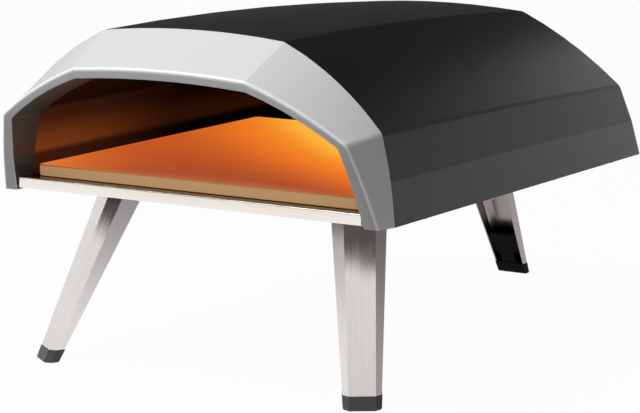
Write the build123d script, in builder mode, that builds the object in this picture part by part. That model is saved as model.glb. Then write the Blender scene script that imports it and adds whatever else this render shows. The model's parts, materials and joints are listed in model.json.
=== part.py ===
"""Portable gas pizza oven on three folding legs, millimetres, front towards -Y, feet on Z = 0."""
from build123d import *
from dataclasses import dataclass
from math import atan2, cos, pi, sin, radians, tan
import os

os.makedirs("parts", exist_ok=True)

# Whole oven
overall_length = 607.5
body_z = 154.0
overrun = 4.0
seat_gap = 0.3
slip_gap = 0.05

# Sheet thicknesses
shell_wall = 1.0
frame_wall = 2.5
liner_wall = 0.8
base_wall = 1.2
sill_wall = 1.2
tray_wall = 0.8
guard_wall = 0.8
panel_wall = 1.2
housing_wall = 1.0
leg_wall = 1.2
bracket_wall = 1.5


def bowed(start, end, bow, inset):
    """Centre and radius of the arc that bows out between two points, moved inward by inset."""
    half = (end - start).length / 2
    radius = (half * half + bow * bow) / (2 * bow)
    out = Vector(end.Y - start.Y, start.X - end.X).normalized()
    return (start + end) * 0.5 - out * (radius - bow), radius - inset


def crossing(first, second, near):
    """Point where two arcs, each a centre and a radius, cross nearest to a point."""
    between = second[0] - first[0]
    gap = between.length
    along = (first[1] ** 2 - second[1] ** 2 + gap**2) / (2 * gap)
    across = (first[1] ** 2 - along**2) ** 0.5
    step = between.normalized()
    base = first[0] + step * along
    return min(
        (base + Vector(-step.Y, step.X) * reach for reach in (-across, across)),
        key=lambda point: (point - near).length,
    )


def on_arc(arc, start, end):
    """Point of an arc half-way between two of its points."""
    return arc[0] + ((start + end) * 0.5 - arc[0]).normalized() * arc[1]


@dataclass
class Arch:
    """Five-sided arch: half widths and heights of its corners, and the bow of its sides."""

    foot_w: float
    mid_w: float
    mid_h: float
    top_w: float
    top_h: float
    low_bow: float
    side_bow: float
    top_bow: float
    ridge_r: float

    def outline(self, inset, lean, bottom):
        """Sketch of the arch, inset all round and stretched for a leaning plane."""
        rise = 1 / cos(radians(lean))
        foot = Vector(self.foot_w, 0)
        mid = Vector(self.mid_w, self.mid_h * rise)
        top = Vector(self.top_w, self.top_h * rise)
        low_arc = bowed(foot, mid, self.low_bow, inset)
        side_arc = bowed(mid, top, self.side_bow, inset)
        top_arc = bowed(top, Vector(-top.X, top.Y), self.top_bow, inset)
        floor = inset if bottom is None else bottom
        run = (low_arc[1] ** 2 - (floor - low_arc[0].Y) ** 2) ** 0.5
        foot = Vector(low_arc[0].X + run, floor)
        mid = crossing(low_arc, side_arc, mid)
        top = crossing(side_arc, top_arc, top)
        low_mid = on_arc(low_arc, foot, mid)
        side_mid = on_arc(side_arc, mid, top)
        with BuildSketch() as profile:
            with BuildLine():
                Line((-foot.X, foot.Y), (foot.X, foot.Y))
                for flip in (-1, 1):
                    ThreePointArc(*[(p.X * flip, p.Y) for p in (foot, low_mid, mid)])
                    ThreePointArc(*[(p.X * flip, p.Y) for p in (mid, side_mid, top)])
                ThreePointArc((top.X, top.Y), (0, top_arc[0].Y + top_arc[1]), (-top.X, top.Y))
            make_face()
            ridges = [v for v in profile.vertices() if v.Y > self.mid_h / 2]
            fillet(ridges, max(self.ridge_r - inset, self.ridge_r * least_ridge_share))
        return profile.sketch

    def loop(self, plane, inset=0, lean=0, bottom=None):
        """Corners round the arch on a plane, from foot to foot, its arcs in short steps."""

        def turn(point):
            return atan2(point.X, self.mid_h / 2 - point.Y) % (2 * pi)

        edges = self.outline(inset, lean, bottom).edges()
        arcs = [edge for edge in edges if edge.geom_type != GeomType.LINE]
        arcs.sort(key=lambda edge: turn(edge @ 0.5))
        spots = [
            edge @ (step / steps)
            for edge, steps in zip(arcs, arch_steps)
            for step in range(steps + 1)
        ]
        spots.sort(key=turn)
        corners = [b for a, b in zip(spots, spots[1:] + spots[:1]) if (b - a).length > slip_gap]
        return [plane.from_local_coords(corner) for corner in corners]

    def face(self, plane, inset=0, lean=0, bottom=None):
        """Sketch of the arch on a plane, its arcs in the same short steps."""
        corners = self.loop(Plane.XY, inset, lean, bottom)
        with BuildSketch(plane) as profile:
            with BuildLine():
                Polyline(*[(corner.X, corner.Y) for corner in corners], close=True)
            make_face()
        return profile.sketch

    def crown(self):
        """Height of the highest point of the arch."""
        return self.top_h + self.top_bow

    def width_at(self, height):
        """Half width of the lower side at a height."""
        return self.foot_w + (self.mid_w - self.foot_w) * height / self.mid_h

    def rim_spots(self, lean, inset):
        """Points inside the rim, at the middle of each low and upper side and along the top."""
        rise = 1 / cos(radians(lean))
        low = ((self.foot_w + self.mid_w) / 2 - inset, self.mid_h * rise / 2)
        side = (
            (self.mid_w + self.top_w) / 2 - inset * rim_slope_share,
            (self.mid_h + self.top_h) * rise / 2 - inset * rim_slope_share,
        )
        top = (self.top_w / 2, self.top_h * rise - inset)
        return [(x * flip, y) for x, y in (low, side, top) for flip in (-1, 1)]


# Cross-sections, seen from the front: the lip, the mouth, and three sections of the shell;
# every gap is measured in from the shell's foot
shell_foot_w = 198.0
lip_foot_gap = 5.2
lip_mid_gap = 22.2
lip_mid_h = 69.4
lip_top_gap = 110.6
lip_top_h = 115.3
lip_low_bow = 1.4
lip_side_bow = 3.5
lip_top_bow = 3.9
lip_ridge_r = 9.0
mouth_foot_gap = 18.0
mouth_mid_gap = 30.1
mouth_mid_h = 66.4
mouth_top_gap = 110.9
mouth_top_h = 107.2
mouth_ridge_r = 8.0
shell_top_gap = 105.7
shell_low_bow = 1.9
shell_top_bow = 5.0
shell_ridge_r = 11.0
seam_mid_gap = 11.6
seam_mid_h = 74.8
seam_top_h = 143.4
seam_side_bow = 6.6
middle_mid_gap = 12.1
middle_mid_h = 72.2
middle_top_h = 142.6
middle_side_bow = 6.0
rear_mid_gap = 12.6
rear_mid_h = 65.6
rear_top_h = 132.0
rear_side_bow = 5.0
rim_slope_share = 0.6
least_ridge_share = 0.3

# Steps of the arcs of a skinned arch: low side, ridge, upper side, ridge, top and back down
arch_steps = (2, 3, 5, 3, 7, 3, 5, 3, 2)
shell_bays = 5

# Lengths of the body, from the lower edge of the lip; the rear leg's foot ends the oven
lip_lean = 15.9
seam_y = 18.6
rear_foot_reach = 122.8
rear_lean = 15.2
shell_seam_gap = 0.4
collar_depth = 11.0
tunnel_depth = 21.4

# Shell hems
hem_w = 14.0
rear_hem_w = 13.0

# Floor of the chamber
sill_top = 11.9
sill_y = 0.6
sill_tail = 34.0
sill_side_gap = 0.6
sill_edge_r = 1.1
board_thickness = 5.0
board_side_gap = 4.0
stone_h = 12.2
stone_side_gap = 13.5
stone_guard_gap = 6.8
stone_thickness = 10.0
stone_y = 13.8
stone_corner = 3.0
stone_edge = 1.0
tray_side_h = 8.0
tray_side_gap = 3.0
tray_front_y = 12.0
rib_w = 12.0
rib_pitch_share = 0.35
rib_count = 3
rib_end_gap = 18.0

# Liner and insulation
liner_overlap = 9.0
liner_back_gap = 10.4
liner_flange_w = 4.0
blanket_thickness = 7.5
back_blanket_thickness = 14.0

# Burner
burner_x = -45.0
burner_back_gap = 10.0
burner_r = 11.0
burner_wall = 1.0
burner_length = 236.0
burner_floor_gap = 2.0
port_w = 1.6
port_length = 5.0
port_count = 18
port_pitch = 12.0
port_tilt = 25.0
saddle_x = 90.0
saddle_w = 18.0
saddle_thickness = 6.0
saddle_depth = 20.0
guard_gap = 6.5
guard_w = 130.0
guard_h = 23.0
guard_foot = 7.0
guard_slot_w = 4.0
guard_slot_h = 9.0
guard_slot_drop = 5.0
guard_slot_pitch = 13.0
guard_slot_count = 18
venturi_r = 9.0
venturi_wall = 1.0
venturi_bell_r = 13.0
venturi_bell_length = 16.0
venturi_tail = 12.8
probe_front = 10.0
probe_tail_gap = 4.7
probe_h = 37.5
spark_x = 24.0
spark_r = 3.5
spark_wire_r = 0.8
spark_reach = 12.0
sensor_side_gap = 17.0
sensor_r = 2.5
sensor_reach = 9.0
sensor_tip_r = 1.5
lead_r = 1.5
lead_run = 20.0
lead_rise = 10.0
lead_spacing = 5.0

# Gas valve, knob and inlet
jet_gap = 5.0
jet_r = 5.5
jet_length = 7.0
jet_bore_r = 0.9
valve_size = 26.0
valve_length = 30.0
valve_edge = 2.0
nose_r = 9.0
nose_wall = 1.5
nose_length = 13.0
stem_r = 3.0
stem_tail = 13.0
stem_end_gap = 2.0
stem_hole_r = 4.0
shoulder_r = 4.6
shoulder_length = 1.5
plunger_r = 6.6
plunger_gap = 0.15
plunger_thickness = 1.6
push_travel = 4.0
knob_r = 18.0
knob_tip_r = 16.5
knob_depth = 22.0
knob_rest_gap = 1.0
knob_face_wall = 5.0
knob_skirt_wall = 3.0
knob_hub_r = 5.6
knob_hub_inset = 1.0
knob_edge = 1.5
dial_r = 21.0
dial_thickness = 1.2
inlet_r = 8.3
inlet_body_r = 7.0
inlet_hex_r = 11.0
inlet_hex_length = 8.0
inlet_reach = 23.0
inlet_bore_r = 3.0
nut_r = 12.5
nut_thickness = 5.0
inlet_chamfer = 1.0
inlet_relief = 0.8
perch_w = 20.0
perch_end_gap = 3.0
perch_wall = 1.5
perch_flange_w = 6.0

# Rear housing
housing_w = 105.0
housing_foot_gap = 53.5
housing_top = 62.0
housing_slope_h = 16.0
housing_slope_run = 18.0
housing_flange_w = 10.0
housing_lap = 16.0
vent_w = 4.0
vent_length = 28.0
vent_pitch = 10.0
vent_count = 4
vent_side_gap = 31.0
vent_h = 24.0
window_side_gap = 7.0
window_top = 50.0

# Legs
leg_splay = 23.2
bevel_angle = 45.0
leg_turn = 34.2
leg_side_gap = 28.6
leg_y = 13.3
leg_top_gap = 0.8
leg_trim = 16.0
leg_face_top = 27.0
leg_face_end = 21.8
leg_bevel_top = 9.8
leg_bevel_end = 4.6
leg_side_top = 16.3
leg_side_end = 5.6
pin_drop = 5.0
pin_inset = 22.4
pin_r = 2.0
ear_r = 4.2
ear_gap = 0.5
ear_front = 4.0
ear_back = 7.0
plate_reach = 32.0
foot_h = 11.4
foot_proud = 0.4
foot_neck_h = 24.0
foot_neck_share = 0.5
foot_plug_h = 43.0
foot_plug_gap = 0.1
foot_edge = 1.0

# Sides of the round things that stay plain
tube_sides = 16
rod_sides = 12
fastener_sides = 6

# Fasteners
rivet_r = 1.6
rivet_head_r = 3.0
rivet_head_h = 1.3
rivet_x = 13.0
rivet_reach = 12.0
rivet_pitch = 12.0
rivet_row_count = 2
screw_r = 1.7
screw_head_r = 3.2
screw_head_h = 1.4
base_screw_margin = 5.0
base_screw_y = 70.0
base_screw_back = 50.7
base_screw_count = 4
frame_screw_margin = 9.5
frame_screw_back = 5.5
sill_screw_side_gap = 50.0
sill_screw_y = 25.0
rim_screw_inset = 7.0
flange_screw_h = 18.0
flange_screw_pitch = 30.0
flange_screw_count = 2
flange_top_screw_gap = 45.0
screw_tip = 1.0

# Levels above the underside of the body
base_h = shell_wall
base_top = base_h + base_wall
sill_h = base_top
board_top = base_top + board_thickness
tray_top = board_top + tray_wall
burner_h = tray_top + burner_floor_gap + burner_r

# Sections of the body
lip = Arch(
    shell_foot_w - lip_foot_gap,
    shell_foot_w - lip_mid_gap,
    lip_mid_h,
    shell_foot_w - lip_top_gap,
    lip_top_h,
    lip_low_bow,
    lip_side_bow,
    lip_top_bow,
    lip_ridge_r,
)
mouth = Arch(
    shell_foot_w - mouth_foot_gap,
    shell_foot_w - mouth_mid_gap,
    mouth_mid_h,
    shell_foot_w - mouth_top_gap,
    mouth_top_h,
    lip_low_bow,
    lip_side_bow,
    lip_top_bow,
    mouth_ridge_r,
)
seam, middle, rear = [
    Arch(
        shell_foot_w,
        shell_foot_w - mid_gap,
        mid_h,
        shell_foot_w - shell_top_gap,
        top_h,
        shell_low_bow,
        side_bow,
        shell_top_bow,
        shell_ridge_r,
    )
    for mid_gap, mid_h, top_h, side_bow in (
        (seam_mid_gap, seam_mid_h, seam_top_h, seam_side_bow),
        (middle_mid_gap, middle_mid_h, middle_top_h, middle_side_bow),
        (rear_mid_gap, rear_mid_h, rear_top_h, rear_side_bow),
    )
]

# The lip's upper edge and the rear foot are the two ends of the oven
lip_run = lip.crown() * tan(radians(lip_lean))
front_y = lip_run - overall_length / 2
rear_ground_y = overall_length - lip_run
rear_y = rear_ground_y - rear_foot_reach
housing_y = rear_ground_y - housing_foot_gap


def row_y(y):
    """Place along the oven of a length measured from the lower edge of the lip."""
    return front_y + y


def cross_plane(y):
    """Upright plane across the body, seen from the front, with heights above its underside."""
    return Plane(origin=(0, row_y(y), body_z), x_dir=(1, 0, 0), z_dir=(0, -1, 0))


def leaning_plane(y, lean, depth=0):
    """Cross plane tipped about its lower edge, moved back square to itself by depth."""
    tip = radians(lean)
    return Plane(
        origin=(0, row_y(y) + depth * cos(tip), body_z + depth * sin(tip)),
        x_dir=(1, 0, 0),
        z_dir=(0, -cos(tip), -sin(tip)),
    )


def side_plane(x):
    """Upright plane along the body: lengths from the lip and heights above the underside."""
    return Plane(origin=(x, row_y(0), body_z), x_dir=(0, 1, 0), z_dir=(1, 0, 0))


def level_plane(height):
    """Level plane at a height above the underside, with lengths from the lip."""
    return Plane(origin=(0, row_y(0), body_z + height), x_dir=(1, 0, 0), z_dir=(0, 0, 1))


def rear_face_y(height, depth=0):
    """Length at which the rear plane, moved forward by depth, passes a height."""
    return rear_y - height * tan(radians(rear_lean)) - depth / cos(radians(rear_lean))


# Lengths inside the chamber, forward from its back
liner_fit = frame_wall + seat_gap
liner_out = liner_fit + liner_wall
back_top = mouth.crown() + liner_out
back_end_y = rear_face_y(back_top, shell_wall + panel_wall) - liner_back_gap
liner_back_y = back_end_y - back_blanket_thickness - liner_wall
burner_y = liner_back_y - burner_back_gap - burner_r
guard_y = burner_y - burner_r - guard_gap
venturi_end_y = rear_y + venturi_tail
probe_y = liner_back_y - probe_front
probe_end_y = rear_y - probe_tail_gap
stone_w = (mouth.foot_w - stone_side_gap) * 2
stone_length = guard_y - stone_guard_gap - stone_y
stone_middle_y = stone_y + stone_length / 2


def panel(plane, x_from, x_to, y_from, y_to):
    """Sketch of a rectangle on a plane, given by its four sides."""
    with BuildSketch(plane) as profile:
        with BuildLine():
            Polyline((x_from, y_from), (x_to, y_from), (x_to, y_to), (x_from, y_to), close=True)
        make_face()
    return profile.sketch


def outline(plane, points):
    """Sketch of a closed outline of straight sides on a plane."""
    with BuildSketch(plane) as profile:
        with BuildLine():
            Polyline(*points, close=True)
        make_face()
    return profile.sketch


def discs(plane, spots, radius):
    """Sketch of equal round spots on a plane."""
    with BuildSketch(plane) as profile:
        with Locations(*spots):
            Circle(radius)
    return profile.sketch


def ring(plane, spot, radius, sides):
    """Corners of one many-sided spot on a plane."""
    turns = [2 * pi * step / sides for step in range(sides)]
    return [
        plane.from_local_coords((spot[0] + radius * cos(turn), spot[1] + radius * sin(turn), 0))
        for turn in turns
    ]


def skinned(loops):
    """Solid through closed loops of equally many corners, with flat faces between them."""
    faces = [Face(Wire.make_polygon(loop)) for loop in (loops[0], loops[-1])]
    for near, far in zip(loops, loops[1:]):
        for i in range(len(near)):
            faces.append(Face(Wire.make_polygon([near[i - 1], near[i], far[i]])))
            faces.append(Face(Wire.make_polygon([near[i - 1], far[i], far[i - 1]])))
    return Solid(Shell(faces))


def curved(loops, bays):
    """Loops in equal bays along the smooth curves through the corners of three loops."""
    rows = []
    for share in [bay / bays for bay in range(bays + 1)]:
        weights = (1 - share) * (1 - 2 * share), 4 * share * (1 - share), share * (2 * share - 1)
        rows.append([sum((c * w for c, w in zip(row, weights)), Vector()) for row in zip(*loops)])
    return rows


def facets(plane, spots, radius, sides):
    """Sketch of equal many-sided spots on a plane."""
    with BuildSketch(plane) as profile:
        with Locations(*spots):
            RegularPolygon(radius, sides)
    return profile.sketch


def hexagons(plane, spots, radius):
    """Sketch of equal six-sided spots on a plane, for fasteners and the holes that take them."""
    return facets(plane, spots, radius, fastener_sides)


def tubes(plane, spots, radius):
    """Sketch of the many-sided section of a tube that nothing turns in."""
    return facets(plane, spots, radius, tube_sides)


def rods(plane, spots, radius):
    """Sketch of the many-sided section of a thin rod that nothing turns on."""
    return facets(plane, spots, radius, rod_sides)


def mirrored(spots):
    """Spots on both sides of the oven's middle."""
    return spots + [(-x, y) for x, y in spots]


def finish(part, name):
    """Label a finished piece and write its file."""
    part.label = name
    export_step(part, f"parts/{name}.step")


def headed(plane, spots, shank_r, shank_length, head_r, head_h):
    """Screws or rivets: shanks rise from a plane, heads hang below it."""
    with BuildPart() as fasteners:
        extrude(hexagons(plane, spots, shank_r), amount=shank_length)
        extrude(hexagons(plane, spots, head_r), amount=-head_h)
    return fasteners.part


lip_plane = leaning_plane(0, lip_lean)
rear_plane = leaning_plane(rear_y, rear_lean)

# Front frame: flared outer sides, lip band, tunnel walls and a collar inside the shell
collar_inset = shell_wall + seat_gap
pocket_inset = collar_inset + frame_wall / 2
plate_front_y = seam_y + collar_depth + sill_side_gap
frame_screw_spots = mirrored([(seam.foot_w - frame_screw_margin, seam_y + frame_screw_back)])
with BuildPart() as front_frame:
    add(skinned([lip.loop(lip_plane, lean=lip_lean), seam.loop(cross_plane(seam_y))]))
    extrude(seam.face(cross_plane(seam_y), collar_inset), amount=-collar_depth)
    add(
        skinned(
            [
                lip.loop(leaning_plane(0, lip_lean, frame_wall), frame_wall, lean=lip_lean),
                seam.loop(cross_plane(seam_y), pocket_inset),
            ]
        ),
        mode=Mode.SUBTRACT,
    )
    extrude(
        seam.face(cross_plane(seam_y), pocket_inset),
        amount=-(collar_depth + overrun),
        mode=Mode.SUBTRACT,
    )
    extrude(
        mouth.face(cross_plane(tunnel_depth), -frame_wall),
        amount=tunnel_depth + lip_run + overrun,
    )
    extrude(
        mouth.face(cross_plane(tunnel_depth + collar_depth), bottom=-overrun),
        amount=tunnel_depth + collar_depth + lip_run + overrun,
        mode=Mode.SUBTRACT,
    )
    split(bisect_by=lip_plane, keep=Keep.BOTTOM)
    split(bisect_by=level_plane(0), keep=Keep.TOP)
    extrude(
        hexagons(level_plane(0), frame_screw_spots, screw_r + slip_gap),
        amount=collar_inset + frame_wall,
        mode=Mode.SUBTRACT,
    )
finish(front_frame.part, "front_frame")

# Outer shell: bowed sides skinned through three sections, hemmed underneath and at the back
shell_front = seam_y + shell_seam_gap
shell_mid_y = (shell_front + rear_y) / 2
base_screw_pitch = (rear_y - base_screw_back - base_screw_y) / (base_screw_count - 1)
base_screw_spots = mirrored(
    [
        (seam.foot_w - base_screw_margin, base_screw_y + base_screw_pitch * i)
        for i in range(base_screw_count)
    ]
)
rim_screw_spots = rear.rim_spots(rear_lean, rim_screw_inset)


def shell_section(arch, y, lean, inset, depth=0):
    """Section of the shell on a leaning plane, with its floor level at the inset height."""
    floor = (inset + depth * sin(radians(lean))) / cos(radians(lean))
    return arch.loop(leaning_plane(y, lean, -depth), inset, lean, floor)


def shell_form(inset, end_depth=0):
    """Solid inside the shell's sections from front to back, all inset by the same amount."""
    sections = [
        shell_section(seam, shell_front, 0, inset),
        shell_section(middle, shell_mid_y, rear_lean / 2, inset),
        shell_section(rear, rear_y, rear_lean, inset, end_depth),
    ]
    return skinned(curved(sections, shell_bays))


hem_edge = seam.foot_w - hem_w
with BuildPart() as outer_shell:
    add(shell_form(0))
    add(shell_form(shell_wall, shell_wall), mode=Mode.SUBTRACT)
    extrude(
        panel(level_plane(-overrun), -hem_edge, hem_edge, 0, rear_y + rear_hem_w),
        amount=overrun + base_top,
        mode=Mode.SUBTRACT,
    )
    extrude(
        rear.face(leaning_plane(rear_y, rear_lean, overrun), rear_hem_w, lean=rear_lean),
        amount=overrun * 2,
        mode=Mode.SUBTRACT,
    )
    extrude(
        panel(cross_plane(rear_y + overrun), -hem_edge, hem_edge, base_h, rear_hem_w + overrun),
        amount=overrun + rear_hem_w,
        mode=Mode.SUBTRACT,
    )
    extrude(
        hexagons(level_plane(0), base_screw_spots + frame_screw_spots, screw_r + slip_gap),
        amount=base_h,
        mode=Mode.SUBTRACT,
    )
    extrude(
        hexagons(rear_plane, rim_screw_spots, screw_r + slip_gap),
        amount=shell_wall * 2,
        mode=Mode.SUBTRACT,
    )
finish(outer_shell.part, "outer_shell")

# Rear panel: closes the shell from inside its rear hem, with a window behind the burner
flange_mid = housing_flange_w / 2
flange_top_h = housing_top / cos(radians(rear_lean)) + housing_flange_w
housing_screw_spots = mirrored(
    [
        (housing_w + flange_mid, flange_screw_h + flange_screw_pitch * i)
        for i in range(flange_screw_count)
    ]
    + [(housing_w - flange_top_screw_gap, flange_top_h - flange_mid)]
)
window_w = housing_w - window_side_gap
with BuildPart() as rear_panel:
    extrude(
        rear.face(leaning_plane(rear_y, rear_lean, -shell_wall), collar_inset, lean=rear_lean),
        amount=panel_wall,
    )
    split(bisect_by=level_plane(base_top), keep=Keep.TOP)
    extrude(
        panel(cross_plane(rear_y), -window_w, window_w, base_top + rear_hem_w / 2, window_top),
        amount=rear_face_y(0) - rear_face_y(rear.crown()),
        mode=Mode.SUBTRACT,
    )
    extrude(
        hexagons(rear_plane, rim_screw_spots + housing_screw_spots, screw_r + slip_gap),
        amount=shell_wall + panel_wall + overrun,
        mode=Mode.SUBTRACT,
    )
finish(rear_panel.part, "rear_panel")

# Liner: arched chamber wall that overlaps the tunnel, with flanges standing on the base,
# notched at the front over the frame's collar
liner_front_y = tunnel_depth - liner_overlap
liner_length = liner_back_y - liner_front_y
flange_edge = mouth.foot_w + liner_fit + liner_flange_w
with BuildPart() as inner_liner:
    extrude(mouth.face(cross_plane(liner_back_y), -liner_out), amount=liner_length)
    extrude(
        panel(
            cross_plane(liner_back_y), -flange_edge, flange_edge, base_top, base_top + liner_wall
        ),
        amount=liner_length,
    )
    split(bisect_by=level_plane(base_top), keep=Keep.TOP)
    extrude(
        panel(level_plane(0), -flange_edge, flange_edge, 0, plate_front_y),
        amount=pocket_inset + seat_gap,
        mode=Mode.SUBTRACT,
    )
    extrude(
        mouth.face(cross_plane(liner_back_y + overrun), -liner_fit),
        amount=liner_length + overrun * 2,
        mode=Mode.SUBTRACT,
    )
finish(inner_liner.part, "inner_liner")

# Chamber back: end plate of the liner and the insulation behind it, pierced alike
sensor_x = sensor_side_gap - housing_w
venturi_spot = [(burner_x, burner_h)]
spark_spot = [(spark_x, probe_h)]
sensor_spot = [(sensor_x, probe_h)]


def pierced_plate(start_y, thickness):
    """Arched plate across the back of the chamber with its three round passages."""
    with BuildPart() as plate:
        extrude(mouth.face(cross_plane(start_y), -liner_out), amount=-thickness)
        split(bisect_by=level_plane(base_top), keep=Keep.TOP)
        for spot, radius, sides in (
            (venturi_spot, venturi_r, tube_sides),
            (spark_spot, spark_r, rod_sides),
            (sensor_spot, sensor_r, rod_sides),
        ):
            extrude(
                facets(cross_plane(start_y), spot, radius + slip_gap, sides),
                amount=-thickness,
                mode=Mode.SUBTRACT,
            )
    return plate.part


finish(pierced_plate(liner_back_y, liner_wall), "liner_back")
finish(pierced_plate(liner_back_y + liner_wall, back_blanket_thickness), "back_insulation")

# Insulation blanket: wrapped over the liner behind the frame's collar
blanket_length = liner_back_y - seam_y - collar_depth - overrun
with BuildPart() as insulation_blanket:
    extrude(
        mouth.face(cross_plane(liner_back_y), -(liner_out + blanket_thickness)),
        amount=blanket_length,
    )
    split(bisect_by=level_plane(base_top + liner_wall), keep=Keep.TOP)
    extrude(
        mouth.face(cross_plane(liner_back_y + overrun), -liner_out),
        amount=blanket_length + overrun * 2,
        mode=Mode.SUBTRACT,
    )
finish(insulation_blanket.part, "insulation_blanket")


@dataclass
class Leg:
    """One leg: its name, where its outer face meets the ground, and the way that it faces."""

    name: str
    ground_x: float
    ground_y: float
    turn: float
    seat: float

    def outward(self, reach=1):
        """Level vector away from the body, of a given length."""
        return Vector(sin(radians(self.turn)), -cos(radians(self.turn)), 0) * reach

    def across(self):
        """Level vector along the hinge pin."""
        return Vector(cos(radians(self.turn)), sin(radians(self.turn)), 0)

    def up(self):
        """Unit vector along the leg, towards the body."""
        tilt = radians(leg_splay)
        return Vector(0, 0, cos(tilt)) - self.outward(sin(tilt))

    def plane(self, slide=0):
        """Plane square to the leg: across the leg and inward, slid up along the leg."""
        ground = Vector(self.ground_x, row_y(self.ground_y), 0)
        head = ground + self.up() * leg_length
        return Plane(origin=head + self.up() * slide, x_dir=self.across(), z_dir=self.up())

    def pin_point(self):
        """Middle of the hinge pin."""
        return self.plane(-pin_slide).from_local_coords((0, pin_inset, 0))

    def pin_plane(self, offset_x=0):
        """Plane square to the pin: inward and up from the middle of the pin."""
        origin = self.pin_point() + self.across() * offset_x
        return Plane(origin=origin, x_dir=self.outward(-1), z_dir=self.across())

    def level(self, height):
        """Level plane at a height above the body's underside: across the leg and inward."""
        origin = self.pin_point() + Vector(0, 0, pin_drop + height)
        return Plane(origin=origin, x_dir=self.across(), z_dir=(0, 0, 1))


leg_length = body_z / cos(radians(leg_splay))
pin_slide = (pin_drop - pin_inset * sin(radians(leg_splay))) / cos(radians(leg_splay))
leg_x = shell_foot_w - leg_side_gap
legs = (
    Leg("left", -leg_x, leg_y, -leg_turn, base_h),
    Leg("right", leg_x, leg_y, leg_turn, base_h),
    Leg("rear", 0, rear_ground_y, 180, 0),
)
rivet_spots = mirrored(
    [(rivet_x, rivet_reach + rivet_pitch * row) for row in range(rivet_row_count)]
)


def leg_sizes(slide):
    """Half face, bevel and side depth of a leg at a slide along it, below its head."""
    share = -slide / leg_length
    return (
        (leg_face_top + (leg_face_end - leg_face_top) * share) / 2,
        leg_bevel_top + (leg_bevel_end - leg_bevel_top) * share,
        leg_side_top + (leg_side_end - leg_side_top) * share,
    )


def leg_section(leg, slide, inset, back=0):
    """Corners of a leg's folded section, inset by a wall, with its open side moved back."""
    face, bevel, side = leg_sizes(slide)
    trim = inset * tan(radians(bevel_angle / 2))
    points = [
        (face - trim, inset),
        (face + bevel - inset, bevel + trim),
        (face + bevel - inset, bevel + side + back),
    ]
    points += [(-x, y) for x, y in reversed(points)]
    return [leg.plane(slide).from_local_coords((x, y, 0)) for x, y in points]


def leg_form(leg, inset, back=0):
    """Tapering solid of a leg's outline, longer than the leg at both ends."""
    slides = (leg_trim, -leg_length - leg_trim)
    return skinned([leg_section(leg, slide, inset, back) for slide in slides])


def make_leg(leg):
    """Folded steel channel, open inwards, drilled for its pin and rounded behind it."""
    with BuildPart() as channel:
        add(leg_form(leg, 0))
        add(leg_form(leg, leg_wall, overrun), mode=Mode.SUBTRACT)
        split(bisect_by=Plane.XY.offset(body_z - leg_top_gap), keep=Keep.BOTTOM)
        split(bisect_by=Plane.XY.offset(foot_h), keep=Keep.TOP)
        reach = leg_face_top
        with BuildSketch(leg.pin_plane(-reach)) as corner:
            Rectangle(pin_inset * 2, pin_inset * 2, align=(Align.MIN, Align.MIN))
            RegularPolygon(pin_drop - leg_top_gap, rod_sides, mode=Mode.SUBTRACT)
        extrude(corner.sketch, amount=reach * 2, mode=Mode.SUBTRACT)
        extrude(
            discs(leg.pin_plane(-reach), [(0, 0)], pin_r + slip_gap),
            amount=reach * 2,
            mode=Mode.SUBTRACT,
        )
    return channel.part


def make_foot(leg):
    """Moulded shoe under the leg, with a waisted plug pushed up into the channel."""
    plug_gap = leg_wall + foot_plug_gap
    with BuildPart() as foot:
        add(leg_form(leg, -foot_proud, foot_proud))
        split(bisect_by=Plane.XY.offset(foot_h), keep=Keep.BOTTOM)
        split(bisect_by=Plane.XY, keep=Keep.TOP)
        chamfer(foot.edges().group_by(Axis.Z)[0], foot_edge)
    with BuildPart() as plug:
        add(leg_form(leg, plug_gap))
        split(bisect_by=Plane.XY.offset(foot_plug_h), keep=Keep.BOTTOM)
        split(bisect_by=Plane.XY.offset(foot_h), keep=Keep.TOP)
        face, bevel, side = leg_sizes(-leg_length)
        waist = (face + bevel) * foot_neck_share
        for flip in (-1, 1):
            with BuildSketch(leg.level(foot_h - body_z)) as notch:
                with Locations((flip * (waist + leg_face_top / 2), 0)):
                    Rectangle(leg_face_top, leg_length * 2)
            extrude(notch.sketch, amount=foot_neck_h - foot_h, mode=Mode.SUBTRACT)
    with BuildPart() as whole:
        add(foot.part)
        add(plug.part)
    return whole.part


ear_hole_r = (pin_r + slip_gap) / cos(pi / rod_sides)


def make_bracket(leg):
    """Folded bracket under the body: a plate and two ears that carry the pin."""
    ear_x = leg_sizes(-pin_slide)[0] + leg_sizes(-pin_slide)[1] - leg_wall - ear_gap
    plate_top = pin_drop + leg.seat
    with BuildPart() as bracket:
        with BuildSketch(leg.pin_plane(-ear_x)) as ear:
            with BuildLine():
                Polyline(*ring(Plane.XY, (0, 0), ear_r, rod_sides), close=True)
                Line((-ear_front, plate_top), (ear_back, plate_top))
            make_hull()
        extrude(ear.sketch, amount=ear_x * 2)
        with BuildSketch(leg.pin_plane(-ear_x + bracket_wall)) as hollow:
            Rectangle(leg_length, leg_length)
        extrude(hollow.sketch, amount=(ear_x - bracket_wall) * 2, mode=Mode.SUBTRACT)
        extrude(
            panel(leg.level(leg.seat), -ear_x, ear_x, -ear_front, plate_reach),
            amount=-bracket_wall,
        )
        extrude(
            rods(leg.pin_plane(-ear_x), [(0, 0)], ear_hole_r),
            amount=ear_x * 2,
            mode=Mode.SUBTRACT,
        )
        extrude(
            hexagons(leg.level(leg.seat), rivet_spots, rivet_r + slip_gap),
            amount=-bracket_wall,
            mode=Mode.SUBTRACT,
        )
    return bracket.part


def make_pin(leg):
    """Hinge pin through the leg and the ears, flush with the leg's sides."""
    half = leg_sizes(-pin_slide)[0] + leg_sizes(-pin_slide)[1] - slip_gap
    with BuildPart() as pin:
        extrude(discs(leg.pin_plane(-half), [(0, 0)], pin_r), amount=half * 2)
    return pin.part


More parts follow.
